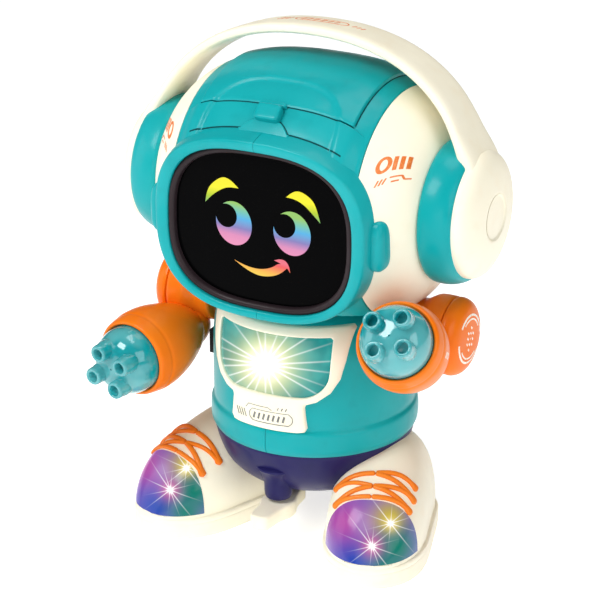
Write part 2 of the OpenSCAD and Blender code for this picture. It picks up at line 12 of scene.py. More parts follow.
import bmesh
import bpy
import numpy as np
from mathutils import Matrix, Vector


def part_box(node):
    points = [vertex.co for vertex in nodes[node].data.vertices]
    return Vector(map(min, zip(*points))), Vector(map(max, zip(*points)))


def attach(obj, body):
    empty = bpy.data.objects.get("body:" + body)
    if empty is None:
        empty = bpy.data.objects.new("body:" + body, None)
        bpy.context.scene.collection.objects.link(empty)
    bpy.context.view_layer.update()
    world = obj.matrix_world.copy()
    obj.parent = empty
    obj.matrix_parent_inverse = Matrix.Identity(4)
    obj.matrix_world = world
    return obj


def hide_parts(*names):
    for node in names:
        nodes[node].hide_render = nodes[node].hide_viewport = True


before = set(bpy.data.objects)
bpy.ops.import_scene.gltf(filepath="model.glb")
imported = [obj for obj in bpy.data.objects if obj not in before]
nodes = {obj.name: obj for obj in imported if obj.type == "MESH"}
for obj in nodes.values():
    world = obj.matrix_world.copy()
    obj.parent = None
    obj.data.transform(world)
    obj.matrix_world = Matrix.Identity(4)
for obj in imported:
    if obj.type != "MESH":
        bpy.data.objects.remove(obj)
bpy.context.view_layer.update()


def middle(node):
    """The centre of a node's box, in millimetres."""
    lo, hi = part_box(node)
    return np.array((lo + hi) / 2) * 1000


AXIS_Y = float(middle("neck_post")[1])
EAR_Z = float(middle("ear_cap_left")[2])
SHOULDER_Z = float(middle("arm_axle_left")[2])
print("body axis at y =", round(AXIS_Y, 2), "ears at z =", EAR_Z, "shoulders at z =", SHOULDER_Z)

# %% [markdown]
# ## Surfaces from numbers
# Every new piece is a grid of points worked out with numpy, with two directions u and v.
# A grid that wraps both ways is a ring, one whose first and last rows shrink to a point is a
# closed blob, and two grids back to back are a plate. Doubled points are merged afterwards
# and the faces are turned outwards, so each piece is a closed solid.

# %% Helpers that turn grids into meshes
pieces = {}


def faces_of_grid(rows, columns, wrap_rows, wrap_columns, start=0, flip=False):
    """Corner numbers of the four-sided faces between neighbouring grid points."""
    r = np.arange(rows if wrap_rows else rows - 1)
    c = np.arange(columns if wrap_columns else columns - 1)
    r, c = np.meshgrid(r, c, indexing="ij")
    r2, c2 = (r + 1) % rows, (c + 1) % columns
    corners = [r * columns + c, r * columns + c2, r2 * columns + c2, r2 * columns + c]
    if flip:
        corners = corners[::-1]
    return np.stack(corners, -1).reshape(-1, 4) + start


def closed_ends(grid):
    """Adds a first and a last row that shrink to the middle of the end rows."""
    first = np.repeat(grid[:1].mean(1, keepdims=True), grid.shape[1], 1)
    last = np.repeat(grid[-1:].mean(1, keepdims=True), grid.shape[1], 1)
    return np.concatenate([first, grid, last])


def tube(grid):
    """A shape that wraps along its columns and is closed at both ends of its rows."""
    grid = closed_ends(grid)
    return grid.reshape(-1, 3), faces_of_grid(*grid.shape[:2], False, True)


def ring(grid):
    """A shape that wraps both ways."""
    return grid.reshape(-1, 3), faces_of_grid(*grid.shape[:2], True, True)


def plate(top, bottom):
    """Two grids back to back, joined round their edges."""
    rows, columns = top.shape[:2]
    edge = np.concatenate([np.arange(columns), np.arange(1, rows) * columns + columns - 1,
                           (rows - 1) * columns + np.arange(columns - 2, -1, -1),
                           np.arange(rows - 2, 0, -1) * columns])
    after = np.roll(edge, -1)
    count = rows * columns
    walls = np.stack([edge, edge + count, after + count, after], -1)
    faces = np.concatenate([faces_of_grid(rows, columns, False, False),
                            faces_of_grid(rows, columns, False, False, count, True), walls])
    return np.concatenate([top.reshape(-1, 3), bottom.reshape(-1, 3)]), faces


def piece(name, parts, body, material, stands_for=(), sharp=38, slot=None):
    """Makes one object from closed parts in body-axis millimetres, and puts it in the frame."""
    points, faces, start = [], [], 0
    for vertices, corners in parts:
        points.append(np.asarray(vertices, float))
        faces.append(np.asarray(corners) + start)
        start += len(vertices)
    points = (np.concatenate(points) + (0, AXIS_Y, 0)) / 1000
    mesh = bpy.data.meshes.new(name)
    mesh.from_pydata(points, [], np.concatenate(faces))
    work = bmesh.new()
    work.from_mesh(mesh)
    bmesh.ops.remove_doubles(work, verts=work.verts, dist=2e-6)
    bmesh.ops.dissolve_degenerate(work, edges=work.edges, dist=1e-7)
    bmesh.ops.recalc_face_normals(work, faces=work.faces)
    work.to_mesh(mesh)
    work.free()
    mesh.shade_smooth()
    mesh.set_sharp_from_angle(angle=math.radians(sharp))
    thing = bpy.data.objects.new(name, mesh)
    bpy.context.scene.collection.objects.link(thing)
    mesh.materials.append(material)
    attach(thing, body)
    if stands_for:
        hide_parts(*stands_for)
    pieces[name] = thing
    print(name, "on", body, "triangles", sum(len(f.vertices) - 2 for f in mesh.polygons))
    return thing


def mirrored(parts):
    """The same parts on the robot's other side."""
    return [(np.asarray(v) * (-1, 1, 1), f) for v, f in parts]


def unchanged(parts):
    return parts


SIDES = (("left", unchanged), ("right", mirrored))


def pair(name, parts, body, material, node, slot):
    """The same piece on both sides, each standing for its own side's node."""
    for side, flip in SIDES:
        piece(f"{name}_{side}", flip(parts), body, material, [f"{node}_{side}"], slot=slot)


# %% [markdown]
# ## Lines and profiles
# Moulded shells have soft outlines that no plain circle or box gives. They could be drawn as
# Bezier curves by hand. Short functions on lists of points are used instead, so an outline
# needs only the points that give it its form, and corner cutting makes it round.

# %% Curves
def spow(v, p):
    """Sign of v times the size of v to the power p: rounds a superellipse's corners."""
    return np.sign(v) * np.abs(v) ** p


def even(points, count, closed=False):
    """The same line with points spaced evenly along it."""
    points = np.asarray(points, float)
    if closed:
        points = np.concatenate([points, points[:1]])
    walk = np.concatenate([[0], np.cumsum(np.linalg.norm(np.diff(points, axis=0), axis=1))])
    at = np.linspace(0, walk[-1], count + 1)[:-1] if closed else np.linspace(0, walk[-1], count)
    return np.stack([np.interp(at, walk, points[:, k]) for k in range(points.shape[1])], -1)


def smooth(points, rounds=3, closed=False):
    """Corner cutting: each corner gives way to points at 1/4 and 3/4 of its two edges."""
    points = np.asarray(points, float)
    for _ in range(rounds):
        after = np.roll(points, -1, 0) if closed else points[1:]
        before = points if closed else points[:-1]
        cut = np.stack([0.75 * before + 0.25 * after, 0.25 * before + 0.75 * after], 1)
        cut = cut.reshape(-1, points.shape[1])
        points = cut if closed else np.concatenate([points[:1], cut, points[-1:]])
    return points


def superellipse(a, b, n, t, centre=(0, 0)):
    """An oval with half sizes a and b. It is an ellipse at n = 2 and squarer above that."""
    return np.stack([centre[0] + a * spow(np.cos(t), 2 / n),
                     centre[1] + b * spow(np.sin(t), 2 / n)], -1)


def half_outline(a, b, n, centre_z, count):
    """The outline's half on the robot's left, from its lowest point to its highest."""
    t = np.linspace(-math.pi / 2, math.pi / 2, 3001)
    return even(superellipse(a, b, n, t, (0, centre_z)), count)


def turned(profile, steps=128):
    """Carries a profile of (radius, height) points once round the z axis."""
    profile = np.asarray(profile, float)
    a = np.arange(steps) * 2 * math.pi / steps
    r, z = profile[:, None, 0], profile[:, None, 1]
    return np.stack([r * np.cos(a), r * np.sin(a), z + 0 * a], -1)


def turned_about_x(profile, steps=128, centre=(0, 0)):
    """Carries (radius, x) points once round a line along x through (y, z) = centre."""
    g = turned(profile, steps)
    return np.stack([g[..., 2], -g[..., 1] + centre[0], g[..., 0] + centre[1]], -1)


def rounding(distance, radius):
    """How far a rounded edge has dropped at a distance in from it: a quarter circle."""
    k = np.clip(1 - distance / radius, 0, 1)
    return radius * (1 - np.sqrt(1 - k ** 2))


# %% [markdown]
# ## Shader maths
# A material is a graph of nodes. Writing it node by node is slow to read, so one class wraps
# an output and lets ordinary arithmetic add the Math nodes, and one method makes any other
# node from its type, its settings and its inputs.

# %% A small language for materials
class Wire:
    """One output of a node. Arithmetic on it adds Math nodes to the same graph."""

    def __init__(self, graph, socket):
        self.graph = graph
        self.socket = socket

    def math(self, operation, *others):
        return self.graph.node("ShaderNodeMath", {"operation": operation},
                               dict(enumerate((self, *others))))

    def __add__(self, other):
        return self.math("ADD", other)

    def __sub__(self, other):
        return self.math("SUBTRACT", other)

    def __rsub__(self, other):
        return self.graph.math("SUBTRACT", other, self)

    def __mul__(self, other):
        return self.math("MULTIPLY", other)

    def __truediv__(self, other):
        return self.math("DIVIDE", other)

    __radd__ = __add__
    __rmul__ = __mul__

    def step(self, low, high):
        """0 below low, 1 above high, smooth between."""
        return self.graph.node("ShaderNodeMapRange", {"interpolation_type": "SMOOTHSTEP"},
                               {0: self, 1: low, 2: high, 3: 0.0, 4: 1.0})


class Graph:
    """The node graph of one new material."""

    def __init__(self, name):
        self.material = bpy.data.materials.new(name)
        self.material.use_nodes = True
        self.tree = self.material.node_tree
        self.tree.nodes.clear()

    def node(self, kind, settings=None, inputs=None, output=0):
        made = self.tree.nodes.new(kind)
        for key, value in (settings or {}).items():
            if key == "stops":
                ramp = made.color_ramp.elements
                while len(ramp) < len(value):
                    ramp.new(0.5)
                for stop, (place, colour) in zip(ramp, value):
                    stop.position = place
                    stop.color = (*colour, 1)
            else:
                setattr(made, key, value)
        for key, value in (inputs or {}).items():
            if isinstance(value, Wire):
                self.tree.links.new(value.socket, made.inputs[key])
            else:
                made.inputs[key].default_value = value
        return Wire(self, made.outputs[output])

    def math(self, operation, *values):
        return self.node("ShaderNodeMath", {"operation": operation}, dict(enumerate(values)))

    def place(self):
        """Millimetres from the body's axis, as x, y and z wires."""
        at = self.node("ShaderNodeTexCoord", output="Object")
        split = self.node("ShaderNodeSeparateXYZ", None, {0: at})
        x, y, z = (Wire(self, o) * 1000 for o in split.socket.node.outputs)
        return x, y - AXIS_Y, z

    def noise(self, per_mm, detail=3, roughness=0.55, stretch=None):
        """Fractal noise in object space, about per_mm features to the millimetre."""
        at = self.node("ShaderNodeTexCoord", output="Object")
        if stretch:
            at = self.node("ShaderNodeMapping", None, {0: at, "Scale": stretch})
        return self.node("ShaderNodeTexNoise", None,
                         {"Vector": at, "Scale": per_mm * 1000, "Detail": detail,
                          "Roughness": roughness})

    def mix(self, factor, a, b):
        """Colour a where the factor is 0 and colour b where it is 1."""
        a, b = (v if isinstance(v, Wire) else (*v, 1) for v in (a, b))
        return self.node("ShaderNodeMix", {"data_type": "RGBA"}, {0: factor, 6: a, 7: b}, 2)

    def bump(self, height, strength, distance_mm):
        return self.node("ShaderNodeBump", None,
                         {"Strength": strength, "Distance": distance_mm / 1000,
                          "Height": height})

    def surface(self, **sockets):
        """The Principled shader. Underscores in a socket's name stand for spaces."""
        inputs = {k.replace("_", " "): (*v, 1) if isinstance(v, tuple) and len(v) == 3 else v
                  for k, v in sockets.items()}
        shader = self.node("ShaderNodeBsdfPrincipled", None, inputs)
        end = self.tree.nodes.new("ShaderNodeOutputMaterial")
        self.tree.links.new(shader.socket, end.inputs[0])
        return self.material


def srgb(red, green, blue):
    """A screen colour, 0 to 255, as the linear numbers that shaders use."""
    c = np.array([red, green, blue]) / 255
    return tuple(float(v) for v in np.where(c < 0.04, c / 12.92, ((c + 0.055) / 1.055) ** 2.4))


# %% [markdown]
# ## Camera, floor and lights
# The camera stands to the robot's left and above it, far off with a long lens. The floor is
# a plain pale sheet. One sun would draw hard shadows, so five large soft lights are used, as
# in a photo studio. The sky lights the toy only faintly, and looks bright behind it.

# %% Camera, floor and lights
scene = bpy.context.scene
scene.view_settings.view_transform = "Standard"


def aim(thing, towards):
    """Turns a camera or a light to look along a direction."""
    thing.rotation_euler = Vector(towards).to_track_quat("-Z", "Y").to_euler()


camera = bpy.data.objects.new("camera", bpy.data.cameras.new("camera"))
scene.collection.objects.link(camera)
scene.camera = camera
camera.data.lens = 144
camera.location = (0.4504, -0.8581 + AXIS_Y / 1000, 0.4881)
aim(camera, (-0.437, 0.819, -0.371))

g = Graph("floor")
floor_mesh = bpy.data.meshes.new("floor")
floor_mesh.from_pydata([(-6, -6, 0), (6, -6, 0), (6, 9, 0), (-6, 9, 0)], [], [(0, 1, 2, 3)])
floor = bpy.data.objects.new("floor", floor_mesh)
scene.collection.objects.link(floor)
floor_mesh.materials.append(g.surface(
    Base_Color=g.mix(g.noise(0.004).step(0.3, 0.7), (0.86, 0.86, 0.86), (0.9, 0.9, 0.9)),
    Roughness=0.6, Emission_Color=(1.0, 1.0, 1.0), Emission_Strength=0.62))

for name, at, size, power in [
        ("key", (-0.45, -1.0, 1.35), 0.7, 14.5), ("fill", (1.2, -0.5, 0.7), 0.9, 5.4),
        ("top", (0.1, 0.25, 1.5), 0.8, 6), ("front", (0.35, -1.5, 0.35), 0.7, 3),
        ("left", (-1.2, -0.7, 0.5), 0.9, 4)]:
    light = bpy.data.objects.new(name, bpy.data.lights.new(name, "AREA"))
    light.data.size = size
    light.data.energy = power
    light.location = at
    aim(light, (-at[0], -at[1], 0.12 - at[2]))
    scene.collection.objects.link(light)
scene.world = bpy.data.worlds.new("sky")
scene.world.use_nodes = True
sky = scene.world.node_tree
sky.nodes["Background"].inputs[0].default_value = (1, 0.96, 0.9, 1)
sky_light = 0.15
path = sky.nodes.new("ShaderNodeLightPath")
seen = sky.nodes.new("ShaderNodeMath")
seen.operation = "MULTIPLY_ADD"
seen.inputs[1].default_value = 1 - sky_light
seen.inputs[2].default_value = sky_light
sky.links.new(path.outputs["Is Camera Ray"], seen.inputs[0])
sky.links.new(seen.outputs[0], sky.nodes["Background"].inputs[1])

# %% [markdown]
# ## Plastics
# A moulded shell isn't one flat colour: it is a little paler where the melt flowed thin, it
# has the faint orange-peel of a polished mould, and handling leaves short fine scratches and
# dull patches. One function makes all of them from three shades of a colour.

# %% Materials of the shells
def moulded(name, shade, pale, dark, rough=0.3, coat=0.14, peel=0.35, metallic=0.0):
    """A moulded plastic: three shades, orange-peel, dull patches and fine scratches."""
    g = Graph(name)
    flow = g.noise(0.018, 2)
    cloud = g.noise(0.11, 3)
    grain = g.noise(2.4, 2)
    scratch = g.noise(0.35, 4, 0.6, (1.0, 7.0, 2.0)).step(0.66, 0.72)
    colour = g.mix(flow.step(0.35, 0.7) * 0.45, shade, pale)
    colour = g.mix((1 - cloud.step(0.25, 0.5)) * 0.22, colour, dark)
    colour = g.mix(scratch * 0.10, colour, pale)
    smears = cloud.step(0.45, 0.7)
    return g.surface(
        Base_Color=colour, Roughness=rough + smears * 0.08 + scratch * 0.12 + grain * 0.05,
        Metallic=metallic, Coat_Weight=coat - smears * 0.12, Coat_Roughness=0.12,
        Specular_IOR_Level=0.14,
        Normal=g.bump(g.noise(0.45, 2) * 0.7 + grain * 0.08 - scratch * 0.2, peel, 0.12))


teal = moulded("teal_plastic", srgb(0, 160, 165), srgb(40, 178, 183), srgb(0, 136, 140))
cream = moulded("cream_plastic", srgb(255, 248, 224), srgb(255, 252, 236), srgb(250, 234, 202),
                0.34, 0.1)
orange = moulded("orange_plastic", srgb(246, 118, 10), srgb(250, 146, 40), srgb(236, 90, 2))
lace_orange = moulded("lace_orange", srgb(240, 122, 24), srgb(248, 150, 56),
                      srgb(232, 96, 8), 0.38, 0.2)
navy = moulded("navy_plastic", srgb(32, 30, 84), srgb(44, 40, 96), srgb(20, 18, 60))
# dark teal of painted shadow, laid in the gaps between the head's panels
gap_shade = moulded("shadow_gap", srgb(0, 66, 70), srgb(0, 80, 84), srgb(0, 48, 52), 0.7, 0.0)
black = moulded("black_plastic", (0.012, 0.012, 0.014), (0.03, 0.03, 0.032),
                (0.004, 0.004, 0.005), 0.5, 0.0, 0.6)
rubber = moulded("gasket_rubber", srgb(40, 31, 35), srgb(58, 47, 50), srgb(24, 18, 21),
                 0.4, 0.1, 0.5)
tyre_rubber = moulded("tyre_rubber", (0.02, 0.02, 0.021), (0.045, 0.045, 0.045),
                      (0.008, 0.008, 0.008), 0.8, 0.0, 0.9)
white_gear = moulded("white_gear", (0.8, 0.8, 0.76), (0.9, 0.9, 0.86), (0.6, 0.6, 0.55), 0.5)
steel = moulded("zinc_steel", (0.58, 0.59, 0.61), (0.72, 0.73, 0.75), (0.4, 0.41, 0.43),
                0.3, 0.0, 0.3, 1.0)
cells = moulded("cell_sleeve", (0.6, 0.38, 0.05), (0.75, 0.55, 0.16), (0.3, 0.18, 0.02), 0.3)
nickel = moulded("nickel_contact", (0.7, 0.6, 0.36), (0.8, 0.72, 0.5), (0.5, 0.42, 0.24),
                 0.25, 0.0, 0.2, 1.0)
mirror = moulded("plated_reflector", (0.8, 0.82, 0.84), (0.9, 0.91, 0.92),
                 (0.65, 0.68, 0.7), 0.12, 0.3, 0.15, 1.0)


def printed(name, colour, edge):
    """Printing ink: slightly uneven cover and a fine screen of dots."""
    g = Graph(name)
    cover = g.noise(0.9, 3).step(0.3, 0.55)
    return g.surface(Base_Color=g.mix(cover, edge, colour), Roughness=0.42 + (1 - cover) * 0.15,
                     Coat_Weight=0.15, Normal=g.bump(g.noise(3.0, 2), 0.2, 0.03))


orange_ink = printed("orange_ink", srgb(232, 118, 34), srgb(240, 150, 84))
grey_ink = printed("grey_ink", srgb(96, 98, 98), srgb(140, 142, 138))
white_ink = printed("white_ink", srgb(255, 250, 240), srgb(250, 214, 178))

g = Graph("circuit_board")
x, y, z = g.place()
tracks = ((x * 0.8).math("FRACT").step(0.42, 0.5)) * g.noise(0.2, 2).step(0.45, 0.55)
board = g.surface(Base_Color=g.mix(tracks, (0.01, 0.12, 0.05), (0.05, 0.3, 0.12)),
                  Roughness=0.35 + tracks * 0.15, Coat_Weight=0.4,
                  Normal=g.bump(tracks, 0.4, 0.05))

# %% [markdown]
# ## Clear plastic and light
# The hands and lenses are clear tinted mouldings, and there are lamps behind the lenses. Real
# lamps inside real lenses would render slowly and noisily. So the light is painted in the
# material: a bright core, thin rays and soft patches, placed in millimetres on each lens.

# %% Clear and lit materials
g = Graph("clear_teal")
flow = g.noise(0.12, 3)
band = g.noise(0.05, 2).step(0.42, 0.58)
clear_teal = g.surface(
    Base_Color=g.mix(band * 0.6, srgb(24, 186, 194), srgb(132, 224, 228)),
    Roughness=0.06 + flow * 0.1, Coat_Weight=0.8, Coat_Roughness=0.04, IOR=1.45,
    Transmission_Weight=0.42, Normal=g.bump(flow, 0.25, 0.1))
# The floor inside the hand's dome has no lamp behind it: its emission is painted light that
# brightens the dome.
g = Graph("dome_floor_painted_glow")
flow = g.noise(0.09, 3)
dome_floor_painted_glow = g.surface(
    Base_Color=g.mix(flow.step(0.45, 0.56), srgb(0, 168, 172), srgb(160, 224, 226)),
    Emission_Color=srgb(0, 168, 172), Emission_Strength=0.35,
    Roughness=0.3 + flow * 0.1, Coat_Weight=0.5, Normal=g.bump(flow, 0.3, 0.3))

g = Graph("dark_screen")
fine = g.noise(1.6, 3)
dust = g.noise(3.0, 2).step(0.7, 0.76)
dark_screen = g.surface(
    Base_Color=g.mix(dust * 0.5, (0.0012, 0.0012, 0.0014), (0.03, 0.03, 0.03)),
    Roughness=0.16 + fine * 0.06 + dust * 0.2, Coat_Weight=0.0, Specular_IOR_Level=0.02,
    Normal=g.bump(fine, 0.08, 0.03))


def along_lens(g, centre):
    """Millimetres across and up a lamp's lens, measured from its middle point."""
    x, y, z = g.place()
    x, y, z = x - centre[0], y - centre[1], z - centre[2]
    return x * 0.882 + y * 0.471, z * 0.928 + y * 0.327 - x * 0.175


def flare(right, up, core, spokes):
    """A bright core, and thin rays through it: (angle, length, width) in mm for each."""
    glow = ((right * right + up * up) * (-1 / core ** 2)).math("EXPONENT")
    for angle, length, width in spokes:
        c, s = math.cos(math.radians(angle)), math.sin(math.radians(angle))
        along, off = right * c + up * s, up * c - right * s
        ray = ((off * off) * (-1 / width ** 2) + (along * along) * (-1 / length ** 2))
        glow = glow + ray.math("EXPONENT") * 0.8
    return glow.math("MINIMUM", 1.0)


def lit_lens(name, centre, patches, lamps, base, base2, strength):
    """A lens with coloured light behind it: soft patches of colour and star-shaped lamps."""
    g = Graph(name)
    right, up = along_lens(g, centre)
    wave = g.noise(0.07, 2)
    colour = g.mix(wave.step(0.4, 0.6) * 0.7, base, base2)
    for tint, u, v, reach in patches:
        far = (right - u) * (right - u) + (up - v) * (up - v)
        colour = g.mix((far * (-1 / reach ** 2)).math("EXPONENT"), colour, tint)
    for u, v, core, spokes, halo, tint in lamps:
        far = (right - u) * (right - u) + (up - v) * (up - v)
        colour = g.mix((far * (-1 / halo ** 2)).math("EXPONENT") * 0.85, colour, tint)
        colour = g.mix(flare(right - u, up - v, core, spokes), colour, (1.0, 1.0, 1.0))
    return g.surface(
        Base_Color=g.mix(0.6, colour, (0.0, 0.0, 0.0)), Emission_Color=colour,
        Emission_Strength=strength,
        Roughness=0.16 + wave * 0.08, Coat_Weight=0.15, Coat_Roughness=0.1,
        Specular_IOR_Level=0.2,
        Normal=g.bump(g.noise(0.3, 2), 0.15, 0.1))


chest_spokes = [(a, l, 0.34) for a, l in
                [(3, 24), (-7, 22), (18, 20), (33, 22), (52, 19), (-30, 23), (-52, 17),
                 (90, 14), (-76, 15), (-20, 18), (68, 14)]]
chest_glow = lit_lens(
    "chest_lamp_lens", (0, -45, 87.4), [(srgb(206, 206, 130), 0, 0, 12.5)],
    [(0, 0, 6.0, chest_spokes, 9.5, (1.0, 0.95, 0.55))],
    srgb(8, 132, 132), srgb(40, 160, 156), 0.78)


def toe_glow(name, side):
    """The toe lens: magenta, blue, yellow and green light, and two lamps."""
    lamps = {1: [(2.3, -2.4, 1.5), (10.2, 7.0, 1.3)], -1: [(6.6, -0.1, 1.5), (13.7, 9.4, 1.3)]}
    stars = [(38, 8, 0.17), (-52, 10, 0.2), (-20, 8, 0.17), (14, 6, 0.15), (84, 5, 0.15),
             (-70, 7, 0.15)]
    (u, v, core), (u2, v2, core2) = lamps[side]
    a, b = (0, 0) if side == 1 else (4.3, 2.2)
    return lit_lens(
        name, (side * 51.7, -51.6, 20), [
            (srgb(170, 70, 154), a - 9, b + 7, 10), (srgb(160, 120, 186), a, b + 6, 5),
            (srgb(34, 66, 168), a - 5, b - 10, 9), (srgb(188, 166, 44), a + 10, b + 9, 7.5),
            (srgb(0, 118, 100), a + 13, b - 3, 9), (srgb(0, 116, 104), a + 9, b - 12, 7.5)],
        [(u, v, core, stars, 4.2, srgb(206, 96, 150)),
         (u2, v2, core2, stars[:5], 3.2, srgb(232, 208, 110))],
        srgb(96, 84, 172), srgb(120, 96, 180), 0.74)


def screen_light(name, centre_z, stops, low, high, slope=0.0):
    """Coloured light on the screen, in bands from low to high, made of fine dots."""
    g = Graph(name)
    x, y, z = g.place()
    height = (z + x * slope - centre_z - low) / (high - low)
    ramp = g.node("ShaderNodeValToRGB", {"stops": stops}, {0: height})
    dots = (x * 2.0).math("FRACT").step(0.1, 0.3) * (z * 2.0).math("FRACT").step(0.1, 0.3)
    return g.surface(Base_Color=g.mix(dots * 0.1 + 0.85, ramp, (0.0, 0.0, 0.0)),
                     Emission_Color=ramp, Emission_Strength=0.86, Roughness=0.3 + dots * 0.1,
                     Normal=g.bump(dots, 0.05, 0.02))


eye_light = screen_light("eye_light", 150, [
    (0.0, srgb(240, 148, 190)), (0.18, srgb(226, 140, 188)), (0.38, srgb(134, 124, 190)),
    (0.62, srgb(76, 180, 234)), (0.78, srgb(110, 198, 180)), (0.95, srgb(150, 204, 100))],
    -9, 9, 0.06)
brow_light = screen_light("brow_light", 163, [
    (0.0, srgb(120, 190, 110)), (0.3, srgb(180, 210, 10)), (0.62, srgb(254, 246, 0)),
    (1.0, srgb(255, 240, 0))], -6.5, 6, 0.0)
smile_light = screen_light("smile_light", 133, [
    (0.0, srgb(250, 214, 70)), (0.3, srgb(252, 186, 66)), (0.6, srgb(246, 130, 80)),
    (0.8, srgb(244, 84, 88)), (1.0, srgb(240, 110, 130))], -4.2, 4.6, 0.12)

# %% [markdown]
# ## Head
# The head is two teal and two cream shells moulded to one round form. It could be a sphere
# cut by planes. A body turned about the line through the ears fits better: its outline is a
# little squarer than an ellipse. Each shell is a slice of it with softly rounded edges, so
# that the seams catch the light.

# %% Head shells
HEAD_R, HEAD_HALF, HEAD_POWER = 58, 66, 2.6  # radius in the middle, half width, squareness
FLATTER = 2.4  # how much lower the top of the head is than a true circle
HEAD_BOTTOM, BEHIND_SCREEN = 111.5, -38  # z of the flat chin, y of the flat front
SCREEN_Z, CREASE_Z, SURROUND_Z = 148.8, 150.1, 151.9  # middles of the surround's outlines


def head_radius(x):
    """The head's radius about the ear line at a sideways place x."""
    return HEAD_R * (1 - np.clip(np.abs(x) / HEAD_HALF, 0, 1) ** HEAD_POWER) ** (1 / HEAD_POWER)


def flatter(points):
    """The top of the head is a little flatter than a true circle."""
    points[..., 2] -= FLATTER * np.clip((points[..., 2] - EAR_Z) / HEAD_R, 0, 1.1) ** 3
    return points


def head_at(x, angle, out=0.0):
    """The point at angle from straight ahead, 90 degrees being the top, moved out."""
    r = head_radius(x) + out
    a = np.radians(angle)
    return flatter(np.stack([x + 0 * r * a, -r * np.cos(a), EAR_Z + r * np.sin(a)], -1))


def spread(low, high, step, edge=(0, 0.08, 0.2, 0.4, 0.7)):
    """Places from low to high, close together near both ends to draw rounded edges."""
    e = np.array(edge)
    inner = np.linspace(low + 1.2, high - 1.2, max(int((high - low) / step), 2))
    return np.concatenate([low + e, inner, high - e[::-1]])


def inside_surround(x, z, shrink):
    """True within the outline of the screen surround, made smaller by shrink."""
    tall = np.where(z > SURROUND_Z, 38.8, 42.5) - shrink
    return np.abs(x / (50 - shrink)) ** 2.5 + np.abs((z - SURROUND_Z) / tall) ** 2.5 < 1


def head_shell(x0, x1):
    """A slice of the head, flat below the chin and behind the screen."""
    x = spread(x0, x1, 1.4)
    r = head_radius(x) - rounding(np.minimum(x - x0, x1 - x), 0.4)
    grid = flatter(turned_about_x(np.stack([r, x], -1), 240, (0, EAR_Z)))
    grid[..., 2] = np.maximum(grid[..., 2], HEAD_BOTTOM)
    hidden = inside_surround(grid[..., 0], grid[..., 2], 3.4) & (grid[..., 1] < 0)
    grid[..., 1] = np.where(hidden, np.maximum(grid[..., 1], BEHIND_SCREEN), grid[..., 1])
    return [tube(grid)]


teal_slice, cream_slice = head_shell(0.1, 42.35), head_shell(42.6, 63)
pair("helmet_shell", teal_slice, "head", teal, "helmet", "teal_shell")
pair("side_shell", cream_slice, "head", cream, "side_panel", "cream_shell")

# %% [markdown]
# ## Screen surround
# The surround is the frame round the screen, in two halves with a small lug on each side. It
# could be a block with a hole cut by a Boolean, which leaves hard edges. It is swept instead,
# so every edge is soft. It runs between three outlines: the opening, the crease round the flat
# face, and the base where the surround meets the head. Its section is drawn once in shares of
# the three outlines and swept from the chin to the forehead, on each side of the middle seam.

# %% Screen surround
def face_plane(z):
    """y of the surround's face: it leans back a little above and below the middle."""
    up = np.clip((z - SURROUND_Z) / 42.5, 0, None)
    down = np.clip((SURROUND_Z - z) / 42.5, 0, None)
    return -51.3 - 4.4 * up ** 2 - 0.9 * down ** 2


def surround_half():
    count = 150
    opening = half_outline(43, 34.8, 2.8, SCREEN_Z, count)
    crease = half_outline(49.0, 39.9, 2.6, CREASE_Z, count)
    base = half_outline(50.6, 42.6, 2.5, SURROUND_Z, count)
    for line, centre, share in ((crease, CREASE_Z, 0.955), (base, SURROUND_Z, 0.913)):
        line[:, 1] = np.where(line[:, 1] > centre, centre + (line[:, 1] - centre) * share,
                              line[:, 1])
    section = [  # share of opening, crease, base; how far the face plane counts; y added
        (1, 0, 0, 0, -46), (1, 0, 0, 1, 2.0), (1, 0, 0, 1, 0.5), (0.9, 0.1, 0, 1, 0.0),
        (0.6, 0.4, 0, 1, -0.35), (0.3, 0.7, 0, 1, -0.25), (0.06, 0.94, 0, 1, 0.2),
        (0, 0.9, 0.1, 1, 1.3), (0, 0.5, 0.5, 0.6, -17.0), (0, 0.15, 0.85, 0.25, -32.4),
        (0, 0, 1, 0, -42.6), (0, 0, 1, 0, -38), (0.5, 0, 0.5, 0, -37.5)]
    rows = []
    for a, b, c, plane, more in section:
        flat = a * opening + b * crease + c * base
        rows.append(np.stack([flat[:, 0], plane * face_plane(flat[:, 1]) + more,
                              flat[:, 1]], -1))
    grid = smooth(np.array(rows).reshape(len(rows), -1), 2, True)
    grid = grid.reshape(-1, count, 3).transpose(1, 0, 2)
    grid[..., 0] = np.maximum(grid[..., 0], 0.09)
    return grid


def pebble(centre, halves, power, tilt=0.0):
    """A rounded block with given half sizes, squarer for a higher power, tilted about x."""
    u = np.linspace(-math.pi / 2, math.pi / 2, 25)[1:-1, None]
    v = np.linspace(-math.pi, math.pi, 49)[None, :-1]
    e = 2 / power
    p = np.stack([spow(np.cos(u), e) * spow(np.cos(v), e) * halves[0],
                  spow(np.cos(u), e) * spow(np.sin(v), e) * halves[1],
                  spow(np.sin(u), e) * halves[2] + 0 * v], -1)
    c, s = math.cos(math.radians(tilt)), math.sin(math.radians(tilt))
    p = np.stack([p[..., 0], c * p[..., 1] - s * p[..., 2], s * p[..., 1] + c * p[..., 2]], -1)
    return tube(p + centre)


half = [tube(surround_half()), pebble((50.4, -41.5, SCREEN_Z), (4.6, 5.6, 11), 3.2)]
piece("surround", half + mirrored(half), "head", teal, ["screen_surround"], 45, "teal_shell")

# %% [markdown]
# ## Crown and brow
# Two raised panels cover the top of the head. They could be cut from a thicker copy of it,
# but then their edges would follow its mesh. Each is a skin of its own over the head's
# surface. The crown panel and the brow plate stand a little proud of the head, with a
# gap between them. An arch is embossed across both: outside it they stand 1.25 mm higher.

# %% Crown panel, brow plate, tab and clip
def angle_of(y, x):
    """The angle at which the head's surface at x reaches y."""
    return np.degrees(np.arccos(np.clip(-y / head_radius(x), -1, 1)))


